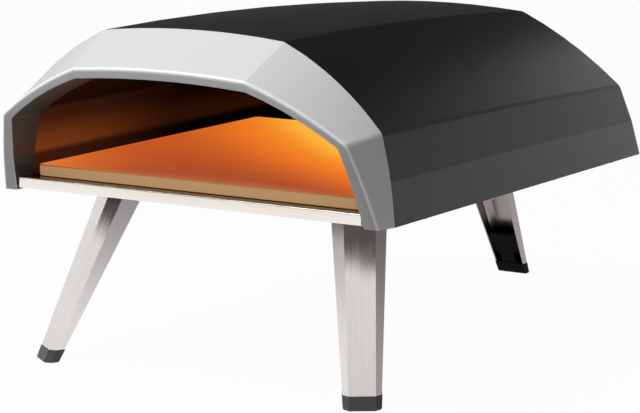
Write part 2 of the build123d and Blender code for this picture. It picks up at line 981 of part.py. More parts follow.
for leg in legs:
    finish(make_leg(leg), f"leg_{leg.name}")
    finish(make_foot(leg), f"foot_{leg.name}")
    finish(make_bracket(leg), f"bracket_{leg.name}")
    finish(make_pin(leg), f"hinge_pin_{leg.name}")

# Base plate: lies on the shell's hems, with a tongue reaching forward between the tunnel walls
tongue_w = mouth.width_at(base_top) - sill_side_gap
plate_w = seam.width_at(base_top) - shell_wall - sill_side_gap
plate_back_y = rear_face_y(base_top, shell_wall) - seat_gap
tongue_front_y = sill_y + liner_overlap
sill_screw_x = mouth.foot_w - sill_screw_side_gap
sill_screw_spots = [(x, sill_screw_y) for x in (-sill_screw_x, 0, sill_screw_x)]
front_legs = [leg for leg in legs if leg.seat == base_h]
with BuildPart() as base_plate:
    extrude(
        outline(
            level_plane(base_h),
            [(tongue_w, tongue_front_y), (tongue_w, plate_front_y), (plate_w, plate_front_y)]
            + [(plate_w, plate_back_y), (-plate_w, plate_back_y), (-plate_w, plate_front_y)]
            + [(-tongue_w, plate_front_y), (-tongue_w, tongue_front_y)],
        ),
        amount=base_wall,
    )
    for spots, radius, plane in (
        (base_screw_spots + sill_screw_spots, screw_r, level_plane(base_h)),
        (rivet_spots, rivet_r, front_legs[0].level(base_h)),
        (rivet_spots, rivet_r, front_legs[1].level(base_h)),
    ):
        extrude(hexagons(plane, spots, radius + slip_gap), amount=base_wall, mode=Mode.SUBTRACT)
finish(base_plate.part, "base_plate")

# Sill: folded bright front edge of the floor
sill_w = mouth.width_at(sill_top) - sill_side_gap
sill_back = sill_y + sill_wall
sill_end_y = tray_front_y - seat_gap
with BuildPart() as front_sill:
    with BuildSketch(side_plane(-sill_w)) as channel:
        with BuildLine():
            Polyline(
                (sill_tail, sill_h),
                (sill_y, sill_h),
                (sill_y, sill_top),
                (sill_end_y, sill_top),
                (sill_end_y, sill_top - sill_wall),
                (sill_back, sill_top - sill_wall),
                (sill_back, sill_h + sill_wall),
                (sill_tail, sill_h + sill_wall),
                close=True,
            )
        make_face()
        fillet([v for v in channel.vertices() if v.X < sill_back - sill_wall / 2], sill_edge_r)
    extrude(channel.sketch, amount=sill_w * 2)
    extrude(
        hexagons(level_plane(sill_h), sill_screw_spots, screw_r + slip_gap),
        amount=sill_wall,
        mode=Mode.SUBTRACT,
    )
finish(front_sill.part, "front_sill")

# Floor insulation: board under the tray
board_w = mouth.width_at(board_top) + liner_fit - board_side_gap
with BuildPart() as floor_insulation:
    extrude(
        panel(
            level_plane(base_top), -board_w, board_w, sill_tail + seat_gap, liner_back_y - seat_gap
        ),
        amount=board_thickness,
    )
finish(floor_insulation.part, "floor_insulation")

# Floor tray: thin pan with turned-up sides
tray_w = stone_w / 2 + tray_side_gap + tray_wall
tray_length = liner_back_y - seat_gap - tray_front_y
with BuildPart() as floor_tray:
    with BuildSketch(cross_plane(tray_front_y)) as pan:
        with BuildLine():
            Polyline(
                (-tray_w, tray_top + tray_side_h),
                (-tray_w, board_top),
                (tray_w, board_top),
                (tray_w, tray_top + tray_side_h),
                (tray_w - tray_wall, tray_top + tray_side_h),
                (tray_w - tray_wall, tray_top),
                (-tray_w + tray_wall, tray_top),
                (-tray_w + tray_wall, tray_top + tray_side_h),
                close=True,
            )
        make_face()
    extrude(pan.sketch, amount=-tray_length)
finish(floor_tray.part, "floor_tray")

# Stone supports: three flat ribs along the tray
rib_length = stone_length - rib_end_gap * 2
rib_pitch = stone_w * rib_pitch_share
rib_x = [rib_pitch * (i - (rib_count - 1) / 2) for i in range(rib_count)]
with BuildPart() as stone_supports:
    with BuildSketch(level_plane(tray_top)) as ribs:
        with Locations(*[(x, stone_middle_y) for x in rib_x]):
            Rectangle(rib_w, rib_length)
    extrude(ribs.sketch, amount=stone_h - seat_gap - tray_top)
finish(stone_supports.part, "stone_supports")

# Baking stone
with BuildPart() as baking_stone:
    with BuildSketch(level_plane(stone_h)) as slab:
        with Locations((0, stone_middle_y)):
            Rectangle(stone_w, stone_length)
        chamfer(slab.vertices(), stone_corner)
    extrude(slab.sketch, amount=stone_thickness)
    chamfer(baking_stone.edges().group_by(Axis.Z)[-1], stone_edge)
    chamfer(baking_stone.edges().group_by(Axis.Z)[0], stone_edge / 2)
finish(baking_stone.part, "baking_stone")

# Burner: capped tube across the chamber, with a row of ports and a side inlet
port_x = [port_pitch * (i - (port_count - 1) / 2) for i in range(port_count)]
port_plane = Plane(
    origin=(0, row_y(burner_y), body_z + burner_h),
    x_dir=(1, 0, 0),
    z_dir=(0, -sin(radians(port_tilt)), cos(radians(port_tilt))),
)
with BuildPart() as burner_tube:
    extrude(
        tubes(side_plane(-burner_length / 2), [(burner_y, burner_h)], burner_r),
        amount=burner_length,
    )
    extrude(
        tubes(
            side_plane(-burner_length / 2 + burner_wall),
            [(burner_y, burner_h)],
            burner_r - burner_wall,
        ),
        amount=burner_length - burner_wall * 2,
        mode=Mode.SUBTRACT,
    )
    with BuildSketch(port_plane) as ports:
        with Locations(*[(x, 0) for x in port_x]):
            Rectangle(port_w, port_length)
    extrude(ports.sketch, amount=burner_r + overrun, mode=Mode.SUBTRACT)
    extrude(
        tubes(cross_plane(burner_y), venturi_spot, venturi_r - venturi_wall),
        amount=-burner_r - overrun,
        mode=Mode.SUBTRACT,
    )
finish(burner_tube.part, "burner_tube")

# Burner saddles: two blocks hollowed to the tube, standing on the tray
with BuildPart() as burner_saddles:
    for x in (-saddle_x, saddle_x):
        extrude(
            panel(
                side_plane(x - saddle_w / 2),
                burner_y - saddle_depth / 2,
                burner_y + saddle_depth / 2,
                tray_top,
                tray_top + saddle_thickness,
            ),
            amount=saddle_w,
        )
    extrude(
        tubes(side_plane(-burner_length / 2), [(burner_y, burner_h)], burner_r),
        amount=burner_length,
        mode=Mode.SUBTRACT,
    )
finish(burner_saddles.part, "burner_saddles")

# Flame guard: slotted upright plate between stone and burner, on a folded foot
guard_slots = [
    (
        guard_slot_pitch * (i - (guard_slot_count - 1) / 2),
        tray_top + guard_h - guard_slot_drop - guard_slot_h / 2,
    )
    for i in range(guard_slot_count)
]
with BuildPart() as flame_guard:
    extrude(
        panel(cross_plane(guard_y), -guard_w, guard_w, tray_top, tray_top + guard_h),
        amount=-guard_wall,
    )
    extrude(
        panel(level_plane(tray_top), -guard_w, guard_w, guard_y, guard_y + guard_foot),
        amount=guard_wall,
    )
    with BuildSketch(cross_plane(guard_y)) as slots:
        with Locations(*guard_slots):
            Rectangle(guard_slot_w, guard_slot_h)
    extrude(slots.sketch, amount=-guard_wall, mode=Mode.SUBTRACT)
finish(flame_guard.part, "flame_guard")

# Venturi tube: saddle-cut on the burner, belled where it draws in air
bell_y = venturi_end_y - venturi_bell_length


def cone(start_y, start_r, end_y, end_r):
    """Many-sided solid that widens or narrows along the valve's axis."""
    ends = ((start_y, start_r), (end_y, end_r))
    return skinned([ring(cross_plane(y), venturi_spot[0], r, tube_sides) for y, r in ends])


def bell(inset):
    """Solid of the bell, inset by a wall."""
    return cone(bell_y, venturi_r - inset, venturi_end_y, venturi_bell_r - inset)


with BuildPart() as venturi_tube:
    extrude(tubes(cross_plane(burner_y), venturi_spot, venturi_r), amount=burner_y - bell_y)
    add(bell(0))
    extrude(
        tubes(cross_plane(burner_y), venturi_spot, venturi_r - venturi_wall),
        amount=burner_y - bell_y,
        mode=Mode.SUBTRACT,
    )
    add(bell(venturi_wall), mode=Mode.SUBTRACT)
    extrude(
        tubes(side_plane(-burner_length / 2), [(burner_y, burner_h)], burner_r),
        amount=burner_length,
        mode=Mode.SUBTRACT,
    )
finish(venturi_tube.part, "venturi_tube")

# Gas train behind the chamber: jet, valve, inlet and the perch that carries them
jet_y = venturi_end_y + jet_gap
valve_y = jet_y + jet_length
valve_end_y = valve_y + valve_length
valve_mid_y = valve_y + valve_length / 2
nose_end_y = valve_end_y + nose_length
cap_y = nose_end_y - nose_wall
shoulder_y = cap_y - seat_gap - shoulder_length
plunger_y = shoulder_y - seat_gap - plunger_thickness
stem_y = plunger_y - stem_tail
stem_room_y = stem_y - push_travel - stem_end_gap
valve_floor = burner_h - valve_size / 2
valve_top = burner_h + valve_size / 2
with BuildPart() as gas_jet:
    extrude(rods(cross_plane(jet_y), venturi_spot, jet_r), amount=-jet_length)
    extrude(
        rods(cross_plane(jet_y), venturi_spot, jet_bore_r),
        amount=-jet_length,
        mode=Mode.SUBTRACT,
    )
finish(gas_jet.part, "gas_jet")

with BuildPart() as gas_valve:
    extrude(
        panel(
            cross_plane(valve_y),
            burner_x - valve_size / 2,
            burner_x + valve_size / 2,
            valve_floor,
            valve_top,
        ),
        amount=-valve_length,
    )
    chamfer(gas_valve.edges().filter_by(Axis.Y), valve_edge)
    extrude(tubes(cross_plane(valve_end_y), venturi_spot, nose_r), amount=-nose_length)
    extrude(
        tubes(cross_plane(valve_end_y), venturi_spot, nose_r - nose_wall),
        amount=-nose_length + nose_wall,
        mode=Mode.SUBTRACT,
    )
    extrude(
        discs(cross_plane(stem_room_y), venturi_spot, stem_r + plunger_gap),
        amount=stem_room_y - nose_end_y,
        mode=Mode.SUBTRACT,
    )
finish(gas_valve.part, "gas_valve")

with BuildPart() as valve_plunger:
    extrude(tubes(cross_plane(plunger_y), venturi_spot, plunger_r), amount=-plunger_thickness)
    extrude(
        discs(cross_plane(plunger_y), venturi_spot, stem_r + plunger_gap),
        amount=-plunger_thickness,
        mode=Mode.SUBTRACT,
    )
finish(valve_plunger.part, "valve_plunger")

inlet_face_x = burner_x - valve_size / 2
inlet_wall_x = -housing_w + housing_wall
inlet_end_x = -housing_w - inlet_reach
inlet_spot = [(valve_mid_y, burner_h)]
inlet_hole_r = (inlet_r + slip_gap) / cos(pi / tube_sides)
with BuildPart() as gas_inlet:
    extrude(rods(side_plane(inlet_face_x), inlet_spot, inlet_body_r), amount=-inlet_reach)
    extrude(
        rods(side_plane(inlet_wall_x), inlet_spot, inlet_body_r),
        amount=inlet_face_x - inlet_wall_x,
    )
    with BuildSketch(side_plane(inlet_wall_x)) as hexagon:
        with Locations(*inlet_spot):
            RegularPolygon(inlet_hex_r, fastener_sides)
    extrude(hexagon.sketch, amount=inlet_hex_length)
    extrude(discs(side_plane(inlet_wall_x), inlet_spot, inlet_r), amount=inlet_end_x - inlet_wall_x)
    chamfer(gas_inlet.edges().group_by(Axis.X)[0], inlet_chamfer)
    with BuildSketch(side_plane(-housing_w - nut_thickness)) as relief:
        with Locations(*inlet_spot):
            Circle(inlet_r + overrun)
            RegularPolygon(inlet_r - inlet_relief, rod_sides, mode=Mode.SUBTRACT)
    extrude(relief.sketch, amount=-inlet_chamfer, mode=Mode.SUBTRACT)
    extrude(
        rods(side_plane(inlet_end_x), inlet_spot, inlet_bore_r),
        amount=inlet_face_x - inlet_end_x,
        mode=Mode.SUBTRACT,
    )
finish(gas_inlet.part, "gas_inlet")

with BuildPart() as inlet_nut:
    with BuildSketch(side_plane(-housing_w)) as hexagon:
        with Locations(*inlet_spot):
            RegularPolygon(nut_r, fastener_sides)
            RegularPolygon(inlet_hole_r, tube_sides, mode=Mode.SUBTRACT)
    extrude(hexagon.sketch, amount=-nut_thickness)
finish(inlet_nut.part, "inlet_nut")

perch_side = perch_w / 2
with BuildPart() as valve_perch:
    with BuildSketch(cross_plane(valve_y + perch_end_gap)) as hat:
        with BuildLine():
            half = [
                (perch_side + perch_flange_w, housing_wall),
                (perch_side + perch_flange_w, housing_wall + perch_wall),
                (perch_side, housing_wall + perch_wall),
                (perch_side, valve_floor),
            ]
            under = [
                (perch_side - perch_wall, housing_wall),
                (perch_side - perch_wall, valve_floor - perch_wall),
            ]
            Polyline(
                *[(burner_x + x, h) for x, h in half],
                *[(burner_x - x, h) for x, h in reversed(half)],
                *[(burner_x - x, h) for x, h in under],
                *[(burner_x + x, h) for x, h in reversed(under)],
                close=True,
            )
        make_face()
    extrude(hat.sketch, amount=perch_end_gap * 2 - valve_length)
finish(valve_perch.part, "valve_perch")

# Valve stem and control knob behind the housing
dial_y = housing_y + dial_thickness
knob_y = dial_y + push_travel + knob_rest_gap
knob_end_y = knob_y + knob_depth
hub_y = knob_y + knob_hub_inset
hub_end_y = knob_end_y - knob_face_wall
with BuildPart() as valve_stem:
    extrude(discs(cross_plane(stem_y), venturi_spot, stem_r), amount=stem_y - hub_end_y)
    extrude(tubes(cross_plane(shoulder_y), venturi_spot, shoulder_r), amount=-shoulder_length)
finish(valve_stem.part, "valve_stem")

with BuildPart() as control_knob:
    add(cone(knob_y, knob_r, knob_end_y, knob_tip_r))
    chamfer(control_knob.edges().group_by(Axis.Y)[-1], knob_edge)
    extrude(
        tubes(cross_plane(knob_y), venturi_spot, knob_tip_r - knob_skirt_wall),
        amount=knob_face_wall - knob_depth,
        mode=Mode.SUBTRACT,
    )
    extrude(rods(cross_plane(hub_y), venturi_spot, knob_hub_r), amount=hub_y - hub_end_y)
    extrude(
        discs(cross_plane(hub_y), venturi_spot, stem_r),
        amount=hub_y - hub_end_y,
        mode=Mode.SUBTRACT,
    )
finish(control_knob.part, "control_knob")

with BuildPart() as dial_plate:
    extrude(tubes(cross_plane(housing_y), venturi_spot, dial_r), amount=-dial_thickness)
    extrude(
        tubes(cross_plane(housing_y), venturi_spot, stem_hole_r),
        amount=-dial_thickness,
        mode=Mode.SUBTRACT,
    )
finish(dial_plate.part, "dial_plate")

# Igniter and flame sensor: rods through the chamber back, each with its lead to the valve
with BuildPart() as spark_probe:
    extrude(rods(cross_plane(probe_y), spark_spot, spark_r), amount=probe_y - probe_end_y)
finish(spark_probe.part, "spark_probe")

with BuildPart() as spark_wire:
    extrude(rods(cross_plane(probe_y), spark_spot, spark_wire_r), amount=spark_reach)
finish(spark_wire.part, "spark_wire")

with BuildPart() as flame_sensor:
    extrude(rods(cross_plane(probe_y), sensor_spot, sensor_r), amount=probe_y - probe_end_y)
    extrude(rods(cross_plane(probe_y), sensor_spot, sensor_tip_r), amount=sensor_reach)
finish(flame_sensor.part, "flame_sensor")


def lead(from_x, to_x):
    """Insulated lead from the tail of a rod, up and across to the top of the valve."""
    turn_y = row_y(probe_end_y + lead_run)
    end_y = row_y(valve_mid_y)
    low = body_z + probe_h
    high = low + lead_rise
    with BuildPart() as cable:
        with BuildLine() as route:
            Polyline(
                (from_x, row_y(probe_end_y), low),
                (from_x, turn_y, low),
                (from_x, turn_y, high),
                (to_x, turn_y, high),
                (to_x, end_y, high),
                (to_x, end_y, body_z + valve_top),
            )
        sweep(
            hexagons(cross_plane(probe_end_y), [(from_x, probe_h)], lead_r),
            path=route.wires()[0],
            transition=Transition.RIGHT,
        )
    return cable.part


finish(lead(spark_x, burner_x + lead_spacing), "spark_lead")
finish(lead(sensor_x, burner_x - lead_spacing), "sensor_lead")


# Burner housing: folded box behind the body, open at the front, with a flange and a lap
def housing_side(inset, reach):
    """Side outline of the housing, inset by a wall and reaching forward of the rear panel."""
    corner = inset * tan(atan2(housing_slope_h, housing_slope_run) / 2)
    fold = inset * tan(atan2(housing_slope_run, housing_slope_h) / 2)
    top = housing_top - inset
    return [
        (rear_face_y(inset, shell_wall) - reach, inset),
        (housing_y - inset, inset),
        (housing_y - inset, housing_top - housing_slope_h - fold),
        (housing_y - housing_slope_run - corner, top),
        (rear_face_y(top, shell_wall) - reach, top),
    ]


vent_x = housing_w - vent_side_gap
vent_spots = mirrored(
    [(vent_x + vent_pitch * (i - (vent_count - 1) / 2), vent_h) for i in range(vent_count)]
)
rear_leg = legs[-1]
with BuildPart() as burner_housing:
    extrude(outline(side_plane(-housing_w), housing_side(0, 0)), amount=housing_w * 2)
    extrude(
        panel(
            leaning_plane(rear_y, rear_lean, -shell_wall),
            -housing_w - housing_flange_w,
            housing_w + housing_flange_w,
            base_top,
            flange_top_h,
        ),
        amount=-housing_wall,
    )
    extrude(
        panel(
            level_plane(0),
            -housing_w,
            housing_w,
            rear_face_y(0, shell_wall) - housing_lap,
            rear_y,
        ),
        amount=housing_wall,
    )
    extrude(
        outline(side_plane(-housing_w + housing_wall), housing_side(housing_wall, overrun)),
        amount=(housing_w - housing_wall) * 2,
        mode=Mode.SUBTRACT,
    )
    with BuildSketch(cross_plane(housing_y + overrun)) as vents:
        with Locations(*vent_spots):
            Rectangle(vent_w, vent_length)
    extrude(vents.sketch, amount=overrun + housing_wall * 2, mode=Mode.SUBTRACT)
    extrude(
        tubes(cross_plane(housing_y), venturi_spot, stem_hole_r),
        amount=housing_wall,
        mode=Mode.SUBTRACT,
    )
    extrude(
        tubes(side_plane(-housing_w), inlet_spot, inlet_hole_r),
        amount=housing_wall,
        mode=Mode.SUBTRACT,
    )
    extrude(
        hexagons(rear_plane, housing_screw_spots, screw_r + slip_gap),
        amount=housing_wall,
        mode=Mode.SUBTRACT,
    )
    extrude(
        hexagons(rear_leg.level(0), rivet_spots, rivet_r + slip_gap),
        amount=housing_wall,
        mode=Mode.SUBTRACT,
    )
finish(burner_housing.part, "burner_housing")

# Fasteners: each group is one set of equal screws or rivets
with BuildPart() as bracket_rivets:
    for leg in legs:
        under = housing_wall if leg is rear_leg else base_wall
        add(
            headed(
                leg.level(leg.seat - bracket_wall),
                rivet_spots,
                rivet_r,
                bracket_wall + under,
                rivet_head_r,
                rivet_head_h,
            )
        )
finish(bracket_rivets.part, "bracket_rivets")

for name, plane, spots, grip in (
    ("base_screws", level_plane(0), base_screw_spots, base_top),
    ("frame_screws", level_plane(0), frame_screw_spots, collar_inset + frame_wall / 2),
    ("sill_screws", level_plane(base_h), sill_screw_spots, base_wall + sill_wall),
    ("rear_panel_screws", rear_plane, rim_screw_spots, shell_wall + panel_wall),
    ("housing_screws", rear_plane, housing_screw_spots, housing_wall + panel_wall),
):
    finish(headed(plane, spots, screw_r, grip + screw_tip, screw_head_r, screw_head_h), name)
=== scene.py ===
"""A portable pizza oven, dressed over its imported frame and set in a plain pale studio."""
import json
import logging
import math
from dataclasses import dataclass, replace
from enum import Enum
from typing import Callable, ClassVar, Optional, Sequence, Union

import bmesh
import bpy
from mathutils import Matrix, Vector


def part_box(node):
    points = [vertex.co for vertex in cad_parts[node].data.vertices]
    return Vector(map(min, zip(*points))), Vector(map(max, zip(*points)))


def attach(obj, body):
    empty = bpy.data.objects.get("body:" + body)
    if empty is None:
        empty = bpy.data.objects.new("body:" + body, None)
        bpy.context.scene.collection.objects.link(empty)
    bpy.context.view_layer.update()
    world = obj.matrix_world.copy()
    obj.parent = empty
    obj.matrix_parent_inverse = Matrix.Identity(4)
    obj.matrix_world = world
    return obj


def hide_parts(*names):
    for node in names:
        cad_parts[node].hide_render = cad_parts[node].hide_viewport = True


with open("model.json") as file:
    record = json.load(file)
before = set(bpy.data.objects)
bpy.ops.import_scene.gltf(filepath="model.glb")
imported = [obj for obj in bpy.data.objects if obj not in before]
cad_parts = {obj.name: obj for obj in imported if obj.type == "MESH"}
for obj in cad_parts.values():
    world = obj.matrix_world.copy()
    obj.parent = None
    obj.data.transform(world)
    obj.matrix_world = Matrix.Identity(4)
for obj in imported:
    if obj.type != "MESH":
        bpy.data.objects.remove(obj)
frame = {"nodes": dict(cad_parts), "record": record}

log = logging.getLogger("oven")
Colour = tuple[float, float, float]
Triple = tuple[float, float, float]
Span = tuple[float, float]

BLACK: Colour = (0.0, 0.0, 0.0)
WHITE: Colour = (1.0, 1.0, 1.0)
#: A point of the lip's plane, and how many degrees the plane leans back
LIP_ORIGIN: Triple = (0.0, -0.26979, 0.154)
LIP_LEAN: float = 15.9


class Toward(Enum):
    """Named directions in the oven's frame: brushing, fastener heads and faces."""

    ACROSS = (1.0, 0.0, 0.0)
    LENGTHWISE = (0.0, 1.0, 0.0)
    UPRIGHT = (0.0, 0.0, 1.0)
    DOWN = (0.0, 0.0, -1.0)
    MOUTH = (0.0, -1.0, 0.0)
    REAR = (0.0, 0.965, 0.262)


class Crease(Enum):
    """Angle in degrees past which an edge stays sharp, by the kind of piece."""

    SHELL = 22.0
    FRAME = 24.0
    SHEET = 28.0
    ROUND = 35.0
    TURNED = 40.0


def toned(colour: Colour, share: float) -> Colour:
    """A colour made darker or lighter by a share."""
    return tuple(c * share for c in colour)


def into_mouth() -> Vector:
    """Direction into the mouth, square to the lip's plane."""
    return Vector((0.0, math.cos(math.radians(LIP_LEAN)), math.sin(math.radians(LIP_LEAN))))


class Value:
    """A shader socket whose maths is written as a Python expression."""

    def __init__(self, shader: "Shader", socket: bpy.types.NodeSocket) -> None:
        """Wraps one output socket of a shader's node tree."""
        self.shader = shader
        self.socket = socket

    def _maths(self, operation: str, first: "Operand", second: "Operand") -> "Value":
        """Adds one Math node."""
        return self.shader.node("ShaderNodeMath", {"operation": operation}, {0: first, 1: second})

    def __add__(self, other: "Operand") -> "Value":
        """This plus another."""
        return self._maths("ADD", self, other)

    def __radd__(self, other: "Operand") -> "Value":
        """Another plus this."""
        return self._maths("ADD", other, self)

    def __sub__(self, other: "Operand") -> "Value":
        """This minus another."""
        return self._maths("SUBTRACT", self, other)

    def __rsub__(self, other: "Operand") -> "Value":
        """Another minus this."""
        return self._maths("SUBTRACT", other, self)

    def __mul__(self, other: "Operand") -> "Value":
        """This times another."""
        return self._maths("MULTIPLY", self, other)

    def __rmul__(self, other: "Operand") -> "Value":
        """Another times this."""
        return self._maths("MULTIPLY", other, self)

    def __truediv__(self, other: "Operand") -> "Value":
        """This over another."""
        return self._maths("DIVIDE", self, other)

    def highest(self, other: "Operand") -> "Value":
        """The larger of this and another."""
        return self._maths("MAXIMUM", self, other)

    def ramp(self, run: Span, low: float = 0.0, high: float = 1.0) -> "Value":
        """Smooth step between two levels.

        Args:
            run: Where the step begins and ends.
            low: Level before the step.
            high: Level after it.

        Returns:
            The stepped value.
        """
        return self.shader.node(
            "ShaderNodeMapRange",
            {"interpolation_type": "SMOOTHSTEP"},
            {0: self, 1: run[0], 2: run[1], 3: low, 4: high},
        )


Operand = Union[Value, float]


@dataclass(frozen=True)
class Speckle:
    """A noise pattern: width of its blotches in metres, its detail, and its stretch by axis."""

    size: float
    detail: float = 3.0
    rough: float = 0.5
    stretch: Optional[Triple] = None


class Shader:
    """One material's node tree, ending in a Principled shader."""

    def __init__(self, name: str, **constants: object) -> None:
        """Makes the material.

        Args:
            name: The material's name.
            **constants: Values set on the Principled shader's own sockets.
        """
        self.material = bpy.data.materials.new(name)
        self.material.use_nodes = True
        self.tree = self.material.node_tree
        self.tree.nodes.clear()
        self.surface = self.tree.nodes.new("ShaderNodeBsdfPrincipled")
        self.output = self.tree.nodes.new("ShaderNodeOutputMaterial")
        self.tree.links.new(self.surface.outputs[0], self.output.inputs[0])
        for key, value in constants.items():
            self.put(key.replace("_", " "), value)

    def put(self, socket: str, value: object) -> None:
        """Sets or links one socket of the Principled shader, colours given as three numbers."""
        self._fill(self.surface.inputs[socket], value)

    def _fill(self, socket: bpy.types.NodeSocket, value: object) -> None:
        """Sets or links a socket.

        Args:
            socket: The socket.
            value: What it is linked to, or its own value.
        """
        if isinstance(value, Value):
            self.tree.links.new(value.socket, socket)
        elif isinstance(value, tuple) and len(value) == 3 and socket.type == "RGBA":
            socket.default_value = (*value, 1.0)
        else:
            socket.default_value = value

    def node(
        self,
        kind: str,
        settings: Optional[dict[str, object]] = None,
        inputs: Optional[dict[Union[int, str], object]] = None,
        output: Union[int, str] = 0,
    ) -> Value:
        """Adds any node.

        Args:
            kind: The node's type.
            settings: Its properties, and the stops of a colour ramp.
            inputs: Values or links of its sockets.
            output: The socket that is handed back.

        Returns:
            The chosen output.
        """
        made = self.tree.nodes.new(kind)
        for key, value in (settings or {}).items():
            if key == "stops":
                self._stops(made.color_ramp, value)
            else:
                setattr(made, key, value)
        for key, value in (inputs or {}).items():
            self._fill(made.inputs[key], value)
        return Value(self, made.outputs[output])

    @staticmethod
    def _stops(ramp: bpy.types.ColorRamp, stops: Sequence[tuple[float, Colour]]) -> None:
        """Sets a colour ramp's stops.

        Args:
            ramp: The colour ramp.
            stops: A place and a colour for each stop.
        """
        while len(ramp.elements) < len(stops):
            ramp.elements.new(0.5)
        for element, (place, colour) in zip(ramp.elements, stops):
            element.position = place
            element.color = (*colour, 1.0)

    def vector(self, operation: str, *operands: object) -> Value:
        """Adds one Vector Math node.

        Args:
            operation: The node's operation.
            *operands: Its vectors, each a value or three numbers.

        Returns:
            The vector, or the number that a dot product gives.
        """
        output = 1 if operation == "DOT_PRODUCT" else 0
        inputs = dict(enumerate(operands))
        return self.node("ShaderNodeVectorMath", {"operation": operation}, inputs, output)

    def place(self) -> Value:
        """Position in the piece's own frame, in metres."""
        return self.node("ShaderNodeTexCoord", output="Object")

    def normal(self) -> Value:
        """The surface's own direction."""
        return self.node("ShaderNodeNewGeometry", output="Normal")

    def along(self, direction: Sequence[float], origin: Triple = (0.0, 0.0, 0.0)) -> Value:
        """Distance along a direction from an origin."""
        return self.vector("DOT_PRODUCT", self.vector("SUBTRACT", self.place(), origin), direction)

    def facing(self, direction: Sequence[float]) -> Value:
        """How far the surface faces a direction, from -1 to 1."""
        return self.vector("DOT_PRODUCT", self.normal(), direction)

    def inward(self, centre: Triple) -> Value:
        """How far the surface faces a centre line that runs along Y.

        Args:
            centre: A point of the line.

        Returns:
            A value from -1 to 1.
        """
        across = self.vector("MULTIPLY", self.vector("SUBTRACT", centre, self.place()), (1, 0, 1))
        return self.vector("DOT_PRODUCT", self.vector("NORMALIZE", across), self.normal())

    def noise(self, form: Speckle, where: Optional[Value] = None) -> Value:
        """Adds a noise pattern.

        Args:
            form: The pattern's form.
            where: Position that it is read at, or none for the piece's own.

        Returns:
            The pattern, from 0 to 1.
        """
        if form.stretch:
            where = self.vector("MULTIPLY", self.place(), form.stretch)
        return self.node(
            "ShaderNodeTexNoise",
            inputs={
                "Vector": where or self.place(),
                "Scale": 1.0 / form.size,
                "Detail": form.detail,
                "Roughness": form.rough,
            },
        )

    def blend(self, share: Operand, first: object, second: object) -> Value:
        """Colour between two others.

        Args:
            share: How much of the second.
            first: The first colour.
            second: The second colour.

        Returns:
            The mixed colour.
        """
        settings = {"data_type": "RGBA", "blend_type": "MIX"}
        return self.node("ShaderNodeMix", settings, {0: share, 6: first, 7: second}, 2)

    def roughen(self, middle: float, spread: Span, pattern: Value) -> None:
        """Varies the roughness with a pattern.

        Args:
            middle: The finish's own roughness.
            spread: What the pattern adds to it where it is 0 and where it is 1.
            pattern: The pattern.
        """
        low, high = spread
        self.put("Roughness", middle + low + (high - low) * pattern)

    def bump(self, height: Value, depth: float) -> None:
        """Raises the surface.

        Args:
            height: The height's pattern.
            depth: Depth in metres where the pattern is 1.
        """
        inputs = {"Strength": 1.0, "Distance": depth, "Height": height}
        self.put("Normal", self.node("ShaderNodeBump", inputs=inputs))


@dataclass(frozen=True)
class PowderCoat:
    """Matt powder coat with a fine orange-peel skin."""

    name: str = "powder_coat"
    colour: Colour = (0.0042, 0.0042, 0.0045)
    lighter: float = 1.3
    patch: Speckle = Speckle(0.09, 4.0)
    roughness: float = 0.4
    spread: Span = (-0.03, 0.03)
    wear: Speckle = Speckle(0.03, 5.0)
    peel: Speckle = Speckle(0.0011, 2.0)
    peel_depth: float = 0.00004

    def make(self) -> bpy.types.Material:
        """Builds the coat's material.

        Returns:
            The material.
        """
        s = Shader(self.name, Metallic=0.0, IOR=1.46)
        patch = s.noise(self.patch)
        s.put("Base Color", s.blend(patch, self.colour, toned(self.colour, self.lighter)))
        s.roughen(self.roughness, self.spread, s.noise(self.wear))
        s.bump(s.noise(self.peel), self.peel_depth)
        return s.material


